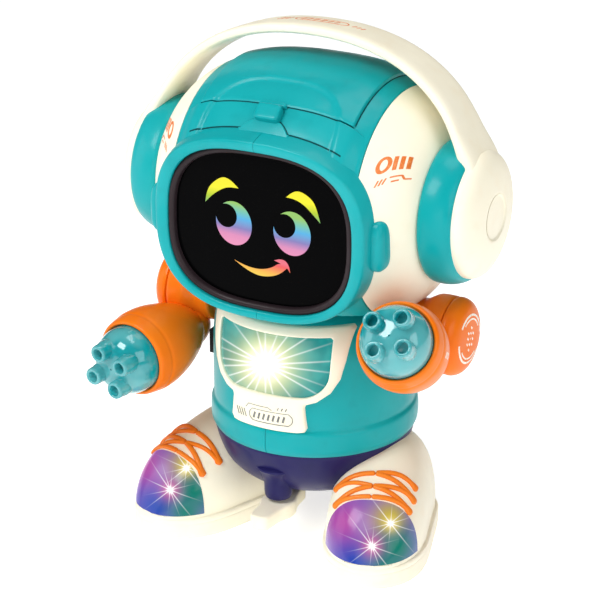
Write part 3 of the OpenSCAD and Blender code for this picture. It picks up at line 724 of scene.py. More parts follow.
def ramp(distance, width):
    """Rises smoothly from 0 to 1 over a width."""
    k = np.clip(distance / width, 0, 1)
    return k * k * (3 - 2 * k)


def embossed(x, y):
    """Height of the two skins at a place on the head, in mm."""
    arch = (np.abs(x / 29.5) ** 2.6 + np.clip((y + 46) / 22.1, 0, None) ** 2.6) ** (1 / 2.6)
    return (0.4 + 1.25 * ramp((arch - 1) * 25, 1.9)) * ramp(41.2 - np.abs(x), 6)


def head_skin(x, start, end, height, bevel, rows):
    """A skin over the places x, from one angle to another, with rounded edges."""
    x = x[:, None]
    edge_t = np.array([0, 0.004, 0.01, 0.02])
    t = np.concatenate([edge_t, np.linspace(0.035, 0.965, rows), 1 - edge_t[::-1]])
    angle = start(x) + (end(x) - start(x)) * t[None, :]
    r = head_radius(x)
    edge = np.minimum(np.abs(x).max() - np.abs(x), np.radians(angle - start(x)) * r)
    edge = np.minimum(edge, np.radians(end(x) - angle) * r)
    rise = height(x + 0 * angle, -r * np.cos(np.radians(angle)))
    x = x + 0 * angle
    return plate(head_at(x, angle, rise - rounding(edge, bevel) - 0.02),
                 head_at(x, angle, -0.8))


def line_y(x):
    """y of the line where the crown panel meets the brow plate."""
    return -35.8 + 0.9 * (x / 34) ** 2


def tab_y(x):
    """y of the upper edge of the surround's tab: flat over the middle, with shoulders."""
    return -41.4 - 3.3 * np.clip((np.abs(x) - 4.6) / 6.2, 0, 1) ** 1.6


across_head = spread(-35.5, 35.5, 0.9, (0, 0.1, 0.25, 0.5, 0.8))
crown = head_skin(across_head, lambda x: angle_of(line_y(x) + 0.55, x),
                  lambda x: 205 + 0 * x, embossed, 0.35, 150)
piece("crown_skin", [crown], "head", teal, ["crown_panel"], slot="teal_shell")
brow = head_skin(spread(-41.2, 41.2, 0.9), lambda x: angle_of(-48 + 0 * x, x),
                 lambda x: angle_of(line_y(x), x), embossed, 0.35, 40)
tab = head_skin(spread(-11.6, 11.6, 0.5, (0, 0.1, 0.25, 0.5, 0.8)),
                lambda x: angle_of(-46 + 0 * x, x), lambda x: angle_of(tab_y(x), x),
                lambda x, y: 1.5 + 0 * x, 0.5, 30)
clip_at = [tuple(head_at(np.array(0.0), np.array(a), out)) for a, out in
           ((47.0, 2.1), (51.6, 1.6))]
brow_parts = [brow, tab, pebble(clip_at[0], (5.6, 3.7, 2.3), 6, 43),
              pebble(clip_at[1], (6.2, 1.1, 1.5), 4, 38)]
piece("brow_skin", brow_parts, "head", teal, ["brow_plate"], 45, "teal_shell")

# %% [markdown]
# ## Screen
# A dark rubber ring holds a domed black screen. The face on it is light. It could be a
# picture on the glass, but a shape keeps its sharp edge at any distance, so each feature is a
# thin glowing sheet that lies on the glass.

# %% Gasket, screen and face
def glass_y(x, z):
    """The domed screen: highest in the middle, 1.2 mm back at its rim."""
    return -49.4 + 1.2 * ((x / 40.4) ** 2 + ((z - SCREEN_Z) / 32.2) ** 2)


def on_glass(points, out):
    return np.stack([points[..., 0], glass_y(points[..., 0], points[..., 1]) - out,
                     points[..., 1]], -1)


def sheet_of(outline, surface, lift, depth=0.05, rings=7):
    """A thin closed sheet within an outline, laid on a surface."""
    middle_point = outline.mean(0)
    shares = np.linspace(0.1, 1, rings)[:, None, None]
    flat = middle_point + (outline - middle_point) * shares
    return tube(np.concatenate([surface(flat, lift), surface(flat[::-1], -depth)]))


ring_t = np.arange(220) * 2 * math.pi / 220
outer = superellipse(43.3, 35.1, 2.8, ring_t, (0, SCREEN_Z))
inner = superellipse(40.2, 32.0, 2.8, ring_t, (0, SCREEN_Z))
section = smooth([(1, -46), (1, -49.4), (0.8, -50.6), (0.5, -51.0), (0.15, -50.4), (0, -49.4),
                  (0, -46)], 2, True)
rows = [np.stack([inner[:, 0] + (outer[:, 0] - inner[:, 0]) * s, 0 * ring_t + y,
                  inner[:, 1] + (outer[:, 1] - inner[:, 1]) * s], -1) for s, y in section]
piece("gasket_ring", [ring(np.array(rows))], "head", rubber, ["screen_gasket"], 50,
      "screen_gasket")
screen_edge = superellipse(40.6, 32.4, 2.8, ring_t, (0, SCREEN_Z))
piece("screen_glass", [sheet_of(screen_edge, on_glass, 0, 2.2, 14)], "head", dark_screen,
      ["face_screen"], slot="screen")


def oval(centre, a, b, tilt=0.0, count=72):
    t = np.arange(count) * 2 * math.pi / count
    c, s = math.cos(math.radians(tilt)), math.sin(math.radians(tilt))
    p = np.stack([a * np.cos(t), b * np.sin(t)], -1)
    return np.stack([centre[0] + c * p[:, 0] - s * p[:, 1],
                     centre[1] + s * p[:, 0] + c * p[:, 1]], -1)


def crescent(upper, lower, surface, lift):
    """A sheet between two lines that meet at their ends."""
    upper, lower = even(smooth(upper), 48), even(smooth(lower), 48)
    t = np.linspace(0, 1, 7)[:, None, None]
    flat = upper + (lower - upper) * t
    return plate(surface(flat, lift), surface(flat, -0.05))


eyes = [sheet_of(oval(c, 8.5, 9.5, 8), on_glass, 0.1) for c in ((-12.1, 150), (15.1, 150))]
piece("eyes", eyes, "head", eye_light)
pupils = [sheet_of(oval(c, 5.0, 5.1), on_glass, 0.2) for c in ((-15.6, 152.9), (11.7, 152.9))]
piece("pupils", pupils, "head", dark_screen)
brows = [crescent([(-25.8, 157.1), (-24.9, 162.3), (-22.5, 165.9), (-17.7, 169.4),
                   (-13.8, 168.6), (-9.9, 165.5)],
                  [(-25.8, 157.1), (-21.8, 161.3), (-17, 164.5), (-13.9, 165.4),
                   (-9.9, 165.5)], on_glass, 0.1),
         crescent([(12.3, 165.3), (14.4, 167.3), (17, 168.7), (20.1, 168.3), (24.2, 165.9),
                   (26.1, 162.5), (27.9, 156.6)],
                  [(12.3, 165.3), (16.3, 165.1), (20.5, 163.3), (24.3, 160), (27.9, 156.6)],
                  on_glass, 0.1)]
piece("brow_lights", brows, "head", brow_light)
smile = [crescent([(-12.1, 133.9), (-8.7, 132.7), (-4.4, 131.8), (0.7, 131.8), (5.8, 133.5),
                   (9.1, 136.3), (13.1, 134.9)],
                  [(-12.1, 133.9), (-8.3, 131.6), (-4.4, 129.8), (0.3, 128.7), (6.1, 129.7),
                   (10, 131.8), (13.1, 134.9)], on_glass, 0.1),
         crescent([(6.8, 137), (9.3, 138), (12, 137.8), (13.7, 135.5), (14.1, 132.7)],
                  [(6.8, 137), (9.1, 136.4), (10.6, 135.4), (12.9, 134.6), (14.1, 132.7)],
                  on_glass, 0.16)]
piece("smile", smile, "head", smile_light)

# %% [markdown]
# ## Headphones
# The headband is a rounded strap that widens and thickens towards the ears. A curve with a
# bevel couldn't change its section that way, so the strap is swept from a formula, along an
# arch that leans back a little. Each ear pad is a soft ring, and each cap a shallow dome with
# a round recess. Both are turned, like the real moulds.

# %% Headband, ear pads and ear caps
BAND_HALF, BAND_HIGH, BAND_Z = 73.9, 60.5, 161.8  # the arch's half width, height and foot
BAND_LEAN = -5.2  # degrees
CAP_R = 27


def strap_at(t, across, out):
    """A point of the headband: t along the arch in degrees, across its width, and out."""
    a = np.radians(t)
    p = np.stack([BAND_HALF * spow(np.cos(a), 0.905), BAND_HIGH * spow(np.sin(a), 0.905)], -1)
    n = np.stack([spow(np.cos(a), 1.095) / BAND_HALF, spow(np.sin(a), 1.095) / BAND_HIGH], -1)
    n = n / np.linalg.norm(n, axis=-1, keepdims=True)
    near = np.minimum(t, 180 - t)
    thicker = ramp(24 - near, 20) * 4.2 * np.clip(np.asarray(out) / 5 + 0.5, 0, 1)
    p = p + n * (np.asarray(out) + thicker + ramp(30 - near, 22) * 1.0)[..., None]
    c, s = math.cos(math.radians(BAND_LEAN)), math.sin(math.radians(BAND_LEAN))
    y, z = np.asarray(across) + 0 * a, p[..., 1]
    return np.stack([p[..., 0], c * y - s * z, BAND_Z + s * y + c * z], -1)


t = np.linspace(3, 177, 200)[:, None]
turn = (np.arange(56) * 2 * math.pi / 56)[None, :]
flare_out = 1 + 0.2 * ramp(34 - np.minimum(t, 180 - t), 26)
across = 12.7 * spow(np.cos(turn), 0.42) * flare_out
piece("headband_strap", [tube(strap_at(t + 0 * turn, across, 2.5 * spow(np.sin(turn), 0.6)))],
      "head", cream, ["headband"], 60, "cream_shell")

PAD_Z = EAR_Z - 0.8
pad = smooth([(13, 62.6), (24, 61.4), (29, 61.4), (30.6, 62.6), (30.9, 66), (30.6, 69.5),
              (29.6, 72.8), (28.2, 75.2), (26.8, 76.0), (13, 76.1)], 3, True)
pad_ring = [ring(turned_about_x(pad, 160, (0, PAD_Z)))]
pair("ear_pad_ring", pad_ring, "head", teal, "ear_pad", "teal_shell")
r = np.concatenate([CAP_R * np.sin(np.linspace(math.pi / 2, 0.36, 40)), [9.9, 9.6, 9.3, 9.0],
                    np.linspace(8.4, 0.5, 12)])
cap_x = 75.9 + 8.6 * (1 - (r / CAP_R) ** 2.6) ** (1 / 2.6)
cap_x = cap_x - 0.8 * np.clip((9.9 - r) / 0.7, 0, 1)
cap = [tube(turned_about_x([(26.4, 75.2), (27, 75.4), *np.stack([r, cap_x], -1)], 160,
                           (0, PAD_Z)))]
pair("ear_dome", cap, "head", cream, "ear_cap", "cream_shell")

# %% [markdown]
# ## Prints
# The prints are thin ink on curved shells. An image texture would need an unwrapped surface,
# so each mark is strokes drawn flat and laid on whichever surface carries them. They are
# plain bars, dots, rings and frames. The same strokes also lay dark strips of painted shadow
# in the gaps round the crown panel, the brow plate and its tab.

# %% Strokes
def stroke(path, width, surface, lift=0.06, closed=False):
    """A flat line of a width along a path, laid on a surface as a thin closed strip."""
    path = even(path, max(int(len(path) * 6), 8), closed)
    if closed:
        step = np.roll(path, -1, 0) - np.roll(path, 1, 0)
    else:
        step = np.gradient(path, axis=0)
    step = step / np.linalg.norm(step, axis=1, keepdims=True)
    side = np.stack([-step[:, 1], step[:, 0]], -1) * width / 2
    grid = np.stack([surface(path + side, lift), surface(path - side, lift),
                     surface(path - side, -0.1), surface(path + side, -0.1)], 1)
    return ring(grid) if closed else tube(grid)


def bars(start, step, count, rise, lean, width, surface):
    """A row of short slanted bars."""
    return [stroke([(start[0] + k * step, start[1]), (start[0] + k * step + lean,
                                                      start[1] + rise)], width, surface)
            for k in range(count)]


def chamfered(x0, x1, z0, z1, cut):
    """A frame with its four corners cut off."""
    return [(x0 + cut, z0), (x1 - cut, z0), (x1, z0 + cut), (x1, z1 - cut), (x1 - cut, z1),
            (x0 + cut, z1), (x0, z1 - cut), (x0, z0 + cut)]


def on_strap(points, lift):
    """x across the top of the headband, z back across its width."""
    return strap_at(90 - points[..., 0] * 0.86, points[..., 1], 2.5 + lift)


def on_side(points, lift):
    """On the head's left: first number forward along it, second up, in mm, from the ear."""
    angle = 40 + (points[..., 1] - 0.8 * (points[..., 0] - 4)) / 0.72
    return head_at(53 - points[..., 0], angle, lift)


def on_brow(points, lift):
    """On the crown and brow skins: x, and y as a depth from the ear line."""
    x, y = points[..., 0], points[..., 1]
    return head_at(x, angle_of(y, x), embossed(x, y) + lift)


def beside_crown(points, lift):
    """On the bare head: x, and the angle from straight ahead."""
    return head_at(points[..., 0], points[..., 1], lift)


# Dark strips at the bottom of the gaps round the crown panel, the brow plate and its tab:
# painted shadow in the gaps.
x = np.linspace(-35.3, 35.3, 40)
gap_shadow_strips = [stroke(np.stack([x, line_y(x) + 0.28], -1), 0.5,
               lambda points, lift: on_brow(points, lift - embossed(*points.T)))]
gap_shadow_strips += [stroke([(k * 35.75, a) for a in np.linspace(51, 150, 30)], 0.45, beside_crown)
         for k in (-1, 1)]
x = np.linspace(-35, 35, 80)
gap_shadow_strips += [stroke(np.stack([x, np.where(np.abs(x) < 11, tab_y(x) + 0.2,
                                      -44.6 + 0.7 * (x / 34) ** 4)], -1), 0.42, on_brow)]
piece("shadow_gaps", gap_shadow_strips, "head", gap_shade)

mark = [stroke(chamfered(-9, 9, -2.6, 2.6, 1.6), 0.5, on_strap, closed=True)]
mark += bars((-6.5, -1.3), 2.2, 6, 2.6, 1.0, 0.8, on_strap)
mark += bars((-15.5, -2.2), 1.7, 3, 4.2, 1.6, 0.6, on_strap)
mark += bars((11, -1.2), 1.7, 3, 2.4, 0.9, 0.6, on_strap)
piece("headband_print", mark, "head", orange_ink)

for side, flip in SIDES:
    mark = [stroke(oval((3.2, -2.6), 1.7, 2.9, count=24), 1.2, on_side, closed=True)]
    mark += bars((-0.2, -5.7), -1.9, 3, 6.2, 0.3, 1.2, on_side)
    mark += bars((4.4, -10.8), -1.1, 3, 2.2, -0.8, 0.55, on_side)
    mark += [stroke([(0.4, -8.7), (-3.0, -8.7), (-3.8, -10.6), (-5.6, -10.6)], 0.65, on_side)]
    mark += [stroke([(-0.2, -10.7), (-2.4, -10.7)], 0.65, on_side)]
    piece("side_print_" + side, flip(mark), "head", orange_ink)

# %% [markdown]
# ## Torso
# The torso is a barrel of two teal shells that meet at a seam down the front and back. A
# Boolean could cut the window for the lamp, and would leave ragged edges under smooth
# shading. Instead the shells are swept from one profile and sunk behind the window.

# %% Torso shells
side_line = smooth([(44.2, 46), (45, 47.2), (45.7, 49), (45.7, 55.4), (45.3, 57.2),
                    (44.1, 58.3), (44.4, 60), (44.5, 64), (44.5, 86), (43.8, 94), (42.3, 101),
                    (39.7, 105.6), (35.9, 108.5), (31.5, 109.5), (12.2, 109.5)], 3)
side_line = even(side_line, 150)


LENS_CENTRE = np.array((0, 88.0))  # x and z of the middle of the chest lens


def torso_radius(z):
    tall = side_line[side_line[:, 1] < 107]
    return np.interp(z, tall[:, 1], tall[:, 0])


def on_torso(points, out):
    """A point of the torso's front, given x and z and how far out."""
    r = torso_radius(points[..., 1]) + out
    return np.stack([points[..., 0], -np.sqrt(r ** 2 - points[..., 0] ** 2),
                     points[..., 1]], -1)


def mirror_line(half):
    """A closed outline from its left half, which runs from the top middle to the bottom."""
    half = np.asarray(half, float)
    return np.concatenate([half, half[::-1] * (-1, 1)])


turn_down = np.radians(np.linspace(0, -90, 16))
window = mirror_line([(0, 100.8), (13, 100.8), (25.6, 100.8), (26.6, 99.8), (26.6, 93),
                      (26.4, 88), (26.3, 85.4)]
                     + [(15.2 + 11 * math.cos(a), 85 + 11 * math.sin(a)) for a in turn_down]
                     + [(8, 74), (0, 74)])
frame_line = mirror_line([(0, 105), (20, 105), (31.6, 105), (32.8, 103.6), (31.2, 90),
                          (29.6, 82), (26.4, 76), (21.6, 72.2), (17.4, 70.9), (16.9, 69.6),
                          (17.4, 64), (17.9, 60), (16.9, 58.1), (14, 57.8), (0, 57.8)])


def by_angle(outline, angles):
    """The outline's points in given directions from the lens's centre."""
    dense = even(outline, 3000, True) - LENS_CENTRE
    a = np.arctan2(dense[:, 1], dense[:, 0])
    order = np.argsort(a)
    far = np.interp(angles, a[order], np.linalg.norm(dense, axis=1)[order],
                    period=2 * math.pi)
    return np.stack([far * np.cos(angles), far * np.sin(angles)], -1) + LENS_CENTRE


def within(points, outline, grow):
    """True within an outline seen from its centre, made larger by grow."""
    d = points - LENS_CENTRE
    angles = np.linspace(-math.pi, math.pi, 721)
    far = np.linalg.norm(by_angle(outline, angles) - LENS_CENTRE, axis=1)
    reach = np.interp(np.arctan2(d[..., 1], d[..., 0]), angles, far)
    return np.linalg.norm(d, axis=-1) < reach + grow


def torso_half():
    angle = np.radians(np.concatenate([-90 + np.array([0, 0.1, 0.25, 0.5, 0.9]),
                                       np.linspace(-88, 88, 110),
                                       90 - np.array([0.9, 0.5, 0.25, 0.1, 0])]))[None, :]
    slope = np.gradient(side_line, axis=0)
    slope = slope / np.linalg.norm(slope, axis=1, keepdims=True)
    inner = side_line + np.stack([-slope[:, 1], slope[:, 0]], -1) * 2
    sheets = []
    for line, soft in ((side_line, 0.4), (inner, 0.0)):
        r, z = line[:, :1], line[:, 1:]
        gap = (math.pi / 2 - np.abs(angle)) * r
        r = r - (rounding(gap, soft) if soft else 0)
        p = np.stack([np.maximum(r * np.cos(angle), 0.07), r * np.sin(angle),
                      z + 0 * angle], -1)
        sunk = (p[..., 1] < 0) & within(p[..., [0, 2]], window, 1.4)
        p[..., 1] += np.where(sunk, 6.0, 0.0)
        sheets.append(p)
    return [plate(*sheets)]


pair("torso_shell", torso_half(), "root", teal, "torso", "teal_shell")

# %% [markdown]
# ## Chest surround and lens
# A cream frame holds the clear lens on the barrel's curve. Bending a flat frame with a
# modifier would stretch its name plate. So both outlines are drawn flat, and each point is
# carried out to the barrel's surface. The frame stands proud of it, with rounded edges.

# %% Chest surround, lens and its print
PROUD, EDGE = 1.75, 1.1  # how far the frame stands out, and how wide its rounded edge is
angles = np.linspace(-math.pi, math.pi, 720, endpoint=False)
inner, outer = by_angle(window, angles), by_angle(frame_line, angles)
width = np.linalg.norm(outer - inner, axis=1)[:, None]


def across_frame(share, out):
    """A line round the frame, at a share of the way from the window to the outer edge."""
    return on_torso(inner + (outer - inner) * share, out)


soft_edge = [(d, PROUD - float(rounding(d, EDGE))) for d in (0, 0.25, 0.6, 1.1)]
rows = [across_frame(0, -1.0)] + [across_frame(d / width, out) for d, out in soft_edge]
rows += [across_frame(0.5, PROUD)]
rows += [across_frame(1 - d / width, out) for d, out in soft_edge[::-1]]
rows += [across_frame(1, -1.0)]
piece("chest_surround", [ring(np.array(rows))], "root", cream, ["chest_frame"], 50,
      "cream_shell")

lens_edge = even(window, 260, True)
rows = []
for share, out in ([(k, 0.85) for k in np.linspace(0.02, 0.9, 18)]
                   + [(0.96, 0.75), (0.985, 0.5), (0.997, 0.1), (1.0, -0.4), (1.0, -2.0)]
                   + [(k, -2.0) for k in np.linspace(0.95, 0.02, 8)]):
    rows.append(on_torso(LENS_CENTRE + (lens_edge - LENS_CENTRE) * share, out))
piece("chest_lens_window", [tube(np.array(rows))], "root", chest_glow, ["chest_lens"], 50,
      "clear_teal")


def on_plate(points, lift):
    return on_torso(points, PROUD + lift)


mark = [stroke(chamfered(-7.5, 12.6, 60.9, 66.4, 1.6), 0.28, on_plate, closed=True)]
mark += bars((-13.4, 61.6), 1.35, 4, 3.6, -1.2, 0.36, on_plate)
mark += bars((-5.4, 62.2), 2.3, 7, 2.8, 0.8, 0.85, on_plate)
mark += bars((6.0, 67.6), 1.8, 3, 1.3, 0.6, 0.4, on_plate)
mark += [stroke([(-9.5, 66.2), (-8.0, 68.2), (1.8, 68.2), (3.4, 67.2)], 0.28, on_plate)]
piece("chest_print", mark, "root", grey_ink)

# %% [markdown]
# ## Base bowl and swing lever
# A navy bowl closes the body from below, and a white lever swings under the boss on its
# front. The bowl and the boss are turned, like the real ones. The lever isn't round, so its
# outline is drawn from above and stacked up in layers that pull in at the top and bottom.

# %% Base bowl, its front boss and the lever
bowl_line = even(smooth([(0.8, 21), (20, 21), (27, 21.8), (32.2, 24.4), (37, 28.4),
                         (40.4, 33), (42.6, 39), (44.2, 45), (44.1, 46), (43, 46.2),
                         (0.8, 46.2)], 3), 120)
boss = smooth([(0.4, 20.6), (4.4, 20.6), (5.6, 21.3), (6.1, 23), (6.2, 27), (6.6, 30),
               (8.2, 34), (11, 37), (0.4, 38)], 2)
BOSS_Y = -33.9
boss_grid = turned(boss, 64) + (0, BOSS_Y, 0)
piece("bowl", [tube(turned(bowl_line, 160)), tube(boss_grid)], "root", navy, ["base_bowl"],
      40, "navy_shell")
outline = smooth([(-4.6, -49), (-4.2, -52.4), (0, -53.7), (4.2, -52.4), (4.6, -49),
                  (5.2, -41.6), (7.4, -37), (7.6, -33.9), (7.4, -30.8), (5.2, -26.2),
                  (4.6, -19), (4.2, -15.6), (0, -14.3), (-4.2, -15.6), (-4.6, -19),
                  (-5.2, -26.2), (-7.4, -30.8), (-7.6, -33.9), (-7.4, -37), (-5.2, -41.6)],
                 3, True)
outline = even(outline, 160, True)
step = np.roll(outline, -1, 0) - np.roll(outline, 1, 0)
outward = np.stack([step[:, 1], -step[:, 0]], -1)
outward = outward / np.linalg.norm(outward, axis=1, keepdims=True)
outward *= np.sign((outward * (outline - (0, BOSS_Y))).sum(1).mean())
rows = []
for height, pull in [(12.6, 9), (12.6, 1.2), (12.75, 0.5), (13.3, 0.1), (14, 0), (18, 0),
                     (18.7, 0.1), (19.25, 0.5), (19.4, 1.2), (19.4, 9)]:
    cap = (0, BOSS_Y) + (outline - (0, BOSS_Y)) * 0.4
    flat = outline - outward * pull if pull < 5 else cap
    rows.append(np.column_stack([flat, np.full(160, height)]))
piece("lever_bar", [tube(np.array(rows))], "lever", cream, ["swing_lever"], 50,
      "cream_shell")

# %% [markdown]
# ## Screws, sound holes and grip lines
# The underside has four screws in round recesses and a ring of sound holes, and the battery
# door on the back has a screw and three grip lines. Real holes are too small to see into, so
# each is a dark disc or stroke laid on the surface: painted shade where the real hole, recess,
# slot or groove is dark inside.

# %% Screws, sound holes and grip lines
def about_x(points, degrees):
    c, s = math.cos(math.radians(degrees)), math.sin(math.radians(degrees))
    x, y, z = points[..., 0], points[..., 1], points[..., 2]
    return np.stack([x, c * y - s * z, s * y + c * z], -1)


def about_z(points, degrees):
    c, s = math.cos(math.radians(degrees)), math.sin(math.radians(degrees))
    x, y, z = points[..., 0], points[..., 1], points[..., 2]
    return np.stack([c * x - s * y, s * x + c * y, z], -1)


def disc(centre, radius, low, high):
    """A short upright cylinder with slightly rounded edges."""
    line = [(0.1, low), (radius - 0.2, low), (radius, low + 0.15), (radius, high), (0.1, high)]
    return tube(turned(smooth(line, 1), 32) + (*centre, 0))


def on_back(points, out):
    """On the battery door: x and z, and how far out from the torso."""
    r = torso_radius(points[..., 1]) + 0.4 + out
    return np.stack([points[..., 0], np.sqrt(r ** 2 - points[..., 0] ** 2),
                     points[..., 1]], -1)


DOOR_SCREW_Z = 96
screw_places = [(20, 13), (-20, 13), (20, -12), (-20, -12)]
hole_places = [(6.4 * math.cos(a) + 2 * math.sin(a), 6.4 * math.sin(a) - 2 * math.cos(a))
               for a in np.radians(np.arange(0, 360, 60))]
# Dark discs and strokes in the black plastic: painted shade in the screw recesses, sound holes,
# screw slots and grip lines.
painted_recess_shade = [disc(c, 2.9, 20.9, 22) for c in screw_places]
painted_recess_shade += [disc(c, 1.1, 20.93, 22) for c in hole_places]
painted_recess_shade += [sheet_of(oval((0, DOOR_SCREW_Z), 3.0, 3.0), on_back, 0.06)]
painted_recess_shade += [stroke([(-7 + k, 60.5 + 2.6 * k), (7 - k, 60.5 + 2.6 * k)], 0.8, on_back, 0.05)
               for k in range(3)]
for x, y in screw_places:
    for a in (0, 90):
        bar = disc((0, 0), 0.35, 20.76, 20.9)
        turn_bar = bar[0] * (5.2, 1, 1)
        painted_recess_shade.append((about_z(turn_bar, a + 20) + (x, y, 0), bar[1]))
painted_recess_shade += [stroke([(-1.6, DOOR_SCREW_Z), (1.6, DOOR_SCREW_Z)], 0.6, on_back, 0.28),
               stroke([(0, DOOR_SCREW_Z - 1.6), (0, DOOR_SCREW_Z + 1.6)], 0.6, on_back, 0.28)]
piece("recesses", painted_recess_shade, "root", black)
heads = [disc(c, 2.3, 20.8, 22) for c in screw_places]
heads += [sheet_of(oval((0, DOOR_SCREW_Z), 2.3, 2.3), on_back, 0.2)]
piece("screw_heads", heads, "root", steel, slot="steel")

# %% [markdown]
# ## Arms
# Each arm has a drum on the shoulder axis and a forearm that bulges towards a clear hand with
# four nozzles. Modelled in place they would need tilted cylinders everywhere. All of it is
# round about some line, so everything is turned about a plain axis first. Shapes
# are turned in their own directions and then put in place: forearm directions first, then the
# arm's lift about the shoulder axis.

# %% Arms
def lifted(parts, lift):
    """Parts drawn about the shoulder axis, raised by the arm's angle."""
    return [(about_x(np.asarray(v), -lift) + (0, 0, SHOULDER_Z), f) for v, f in parts]


HAND_AT, HAND_TILT, HAND_TURN = (63.9, -53, 0), 16.6, 7.9  # the hand's rim; degrees
NOZZLE_FROM_AXIS = 8.63


def from_forearm(points):
    """Forearm directions (z points out of the hand, 0 at its rim) to the shoulder's."""
    return about_z(about_x(points, 90 - HAND_TILT), HAND_TURN) + HAND_AT


def turned_part(profile, place):
    """A smoothed profile turned about its axis and put in place, as a closed part."""
    return tube(place(turned(even(smooth(profile, 2), 4 * len(profile) + 30), 120)))


def along_x(points):
    """Turned shapes laid along the shoulder axis: their z becomes x."""
    return np.stack([points[..., 2], -points[..., 1], points[..., 0]], -1)


drum = turned_part([(0.5, 46.6), (13, 46.6), (13.8, 47.3), (13.8, 52.6), (14.6, 54.4),
                    (16.2, 57), (17, 58.8), (17, 65), (16.6, 65.8), (15, 66), (0.5, 66)],
                   place=along_x)
drum_lid = turned_part([(0.5, 65.5), (16.4, 65.9), (17, 66.5), (16.9, 68.4), (15.9, 70.8),
                        (13.5, 72.8), (9.6, 73.8), (0.5, 74)], place=along_x)
fore = turned_part([(0.4, -3), (14.9, -3), (15.3, -2), (15.4, -0.4), (15.9, 0), (16.5, 0),
                    (17.3, -0.9), (17.8, -3.6), (18.2, -6.2), (17.95, -6.5), (17.95, -6.9),
                    (18.4, -7.3), (18.7, -10), (18.3, -16.5), (16.5, -24.5), (13.7, -32.5),
                    (11, -38), (8.4, -42), (5, -44.6), (0.4, -45.4)], place=from_forearm)
neck_of_arm = turned_part([(0.5, -30), (10.4, -30), (11, -33), (10.4, -40), (8.6, -46),
                           (5, -50), (0.5, -51)], place=from_forearm)
dome_line = smooth([(15.1, -2.4), (15.1, 1.4), (14.7, 4.4), (13.4, 7.8), (11.2, 10.6),
                    (8.2, 12.4), (4, 13.2), (0.4, 13.4)], 2)
dome_inside = smooth([(0.4, 11.7), (7.4, 10.9), (10, 9.3), (12, 6.9), (13.2, 3.9),
                      (13.5, -2.4)], 2)
clear = [ring(from_forearm(turned(np.concatenate([dome_line, dome_inside]), 96)))]
for quarter in (60, 150, 240, 330):
    u, v = (NOZZLE_FROM_AXIS * f(math.radians(quarter)) for f in (math.cos, math.sin))
    tube_line = smooth([(2.3, 6.5), (2.3, 16.4), (2.6, 17), (3.4, 17), (3.9, 16.4),
                        (4.0, 13.4), (4.3, 12.6), (4.3, 9), (4.1, 6.5)], 1, True)
    clear.append(ring(from_forearm(turned(tube_line, 40) + (u, v, 0))))
floor_of_dome = turned_part([(0.4, -2.2), (12.8, -2.2), (13.2, -1.6), (12.6, 0.6), (9, 1.4),
                             (0.4, 1.6)], place=from_forearm)


def on_lid(points, lift):
    """On the drum's cap, seen from outside: forward and up from the shoulder axis."""
    r = np.linalg.norm(points, axis=-1)
    x = np.interp(r, [0, 9.6, 11.6, 13.5, 14.8, 15.9, 16.9],
                  [73.95, 73.75, 73.35, 72.5, 71.7, 70.6, 68.6])
    return np.stack([x + lift, -points[..., 0], points[..., 1]], -1)


def on_forearm(points, lift):
    """On the forearm's outer side: back from the rim and round it, in mm."""
    r = np.interp(points[..., 0], [0, 1, 6, 10, 16, 24], [16.5, 17.3, 18.2, 18.7, 18.3, 16.5])
    a = points[..., 1] / 18
    r = r + lift
    return from_forearm(np.stack([r * np.cos(a), r * np.sin(a), -points[..., 0]], -1))


lid_mark = [stroke([(10.4 * math.cos(a), 10.4 * math.sin(a)) for a in
                    np.radians(np.linspace(lo, lo + 140, 20))], 0.9, on_lid)
            for lo in (25, 205)]
lid_mark += [stroke([(8.6 * math.cos(a), 8.6 * math.sin(a)) for a in
                     np.radians(np.linspace(lo, lo + 100, 16))], 0.7, on_lid)
             for lo in (40, 220)]
for u in (-2.4, 0, 2.4):
    for v in (-4.8, -2.4, 0, 2.4, 4.8):
        if abs(u) + abs(v) < 6:
            lid_mark.append(stroke([(u - 0.7, v - 0.4), (u + 0.7, v + 0.4)], 0.9, on_lid))
arm_mark = bars((10, -1.2), 1.5, 2, 2.6, 0.4, 0.7, on_forearm)
arm_mark += [stroke(oval((14.2, 0.3), 0.9, 1.2, count=12), 0.5, on_forearm, closed=True)]

for (side, flip), lift in zip(SIDES, (16.8, -19.7)):
    body = side + "_arm"
    for name, parts, finish, stands_for, slot in [
            ("drum_", [drum], orange, ["shoulder_drum_" + side], "orange_shell"),
            ("drum_lid_", [drum_lid], orange, ["drum_cap_" + side], "orange_shell"),
            ("forearm_shell_", [fore, neck_of_arm], orange, ["forearm_" + side],
             "orange_shell"),
            ("hand_clear_", clear, clear_teal, ["hand_dome_" + side], "clear_teal"),
            ("hand_floor_", [floor_of_dome], dome_floor_painted_glow, [], None),
            ("lid_print_", lid_mark, white_ink, [], None),
            ("arm_print_", arm_mark, white_ink, [], None)]:
        piece(name + side, flip(lifted(parts, lift)), body, finish, stands_for, 42, slot)

# %% [markdown]
# ## Shoes
# Each shoe is a cream upper on a sole, with a lit toe lens and moulded laces. It could be
# sculpted, but then the lens and laces wouldn't fit it closely. Its cross-sections are half
# ovals from one formula: their width follows the sole's plan and their height the instep.
# The toe lens and the laces lie on the same surface.

# %% Shoes
SOLE_TOP, SHOE_POWER = 9, 2.6  # z of the upper's lower edge, and its squareness
SHOE_X, SHOE_TURN = 35.2, 18.4  # how far out a shoe stands, and how far it points outwards
instep = smooth([(25, 9), (24.2, 24), (21, 36), (14, 43.4), (4, 45.6), (-8, 45.6),
                 (-18, 43.4), (-28, 40), (-37, 36.2), (-43.6, 32.6), (-48.6, 28.4),
                 (-53, 22.8), (-56.6, 16.6), (-60, 9)], 4)


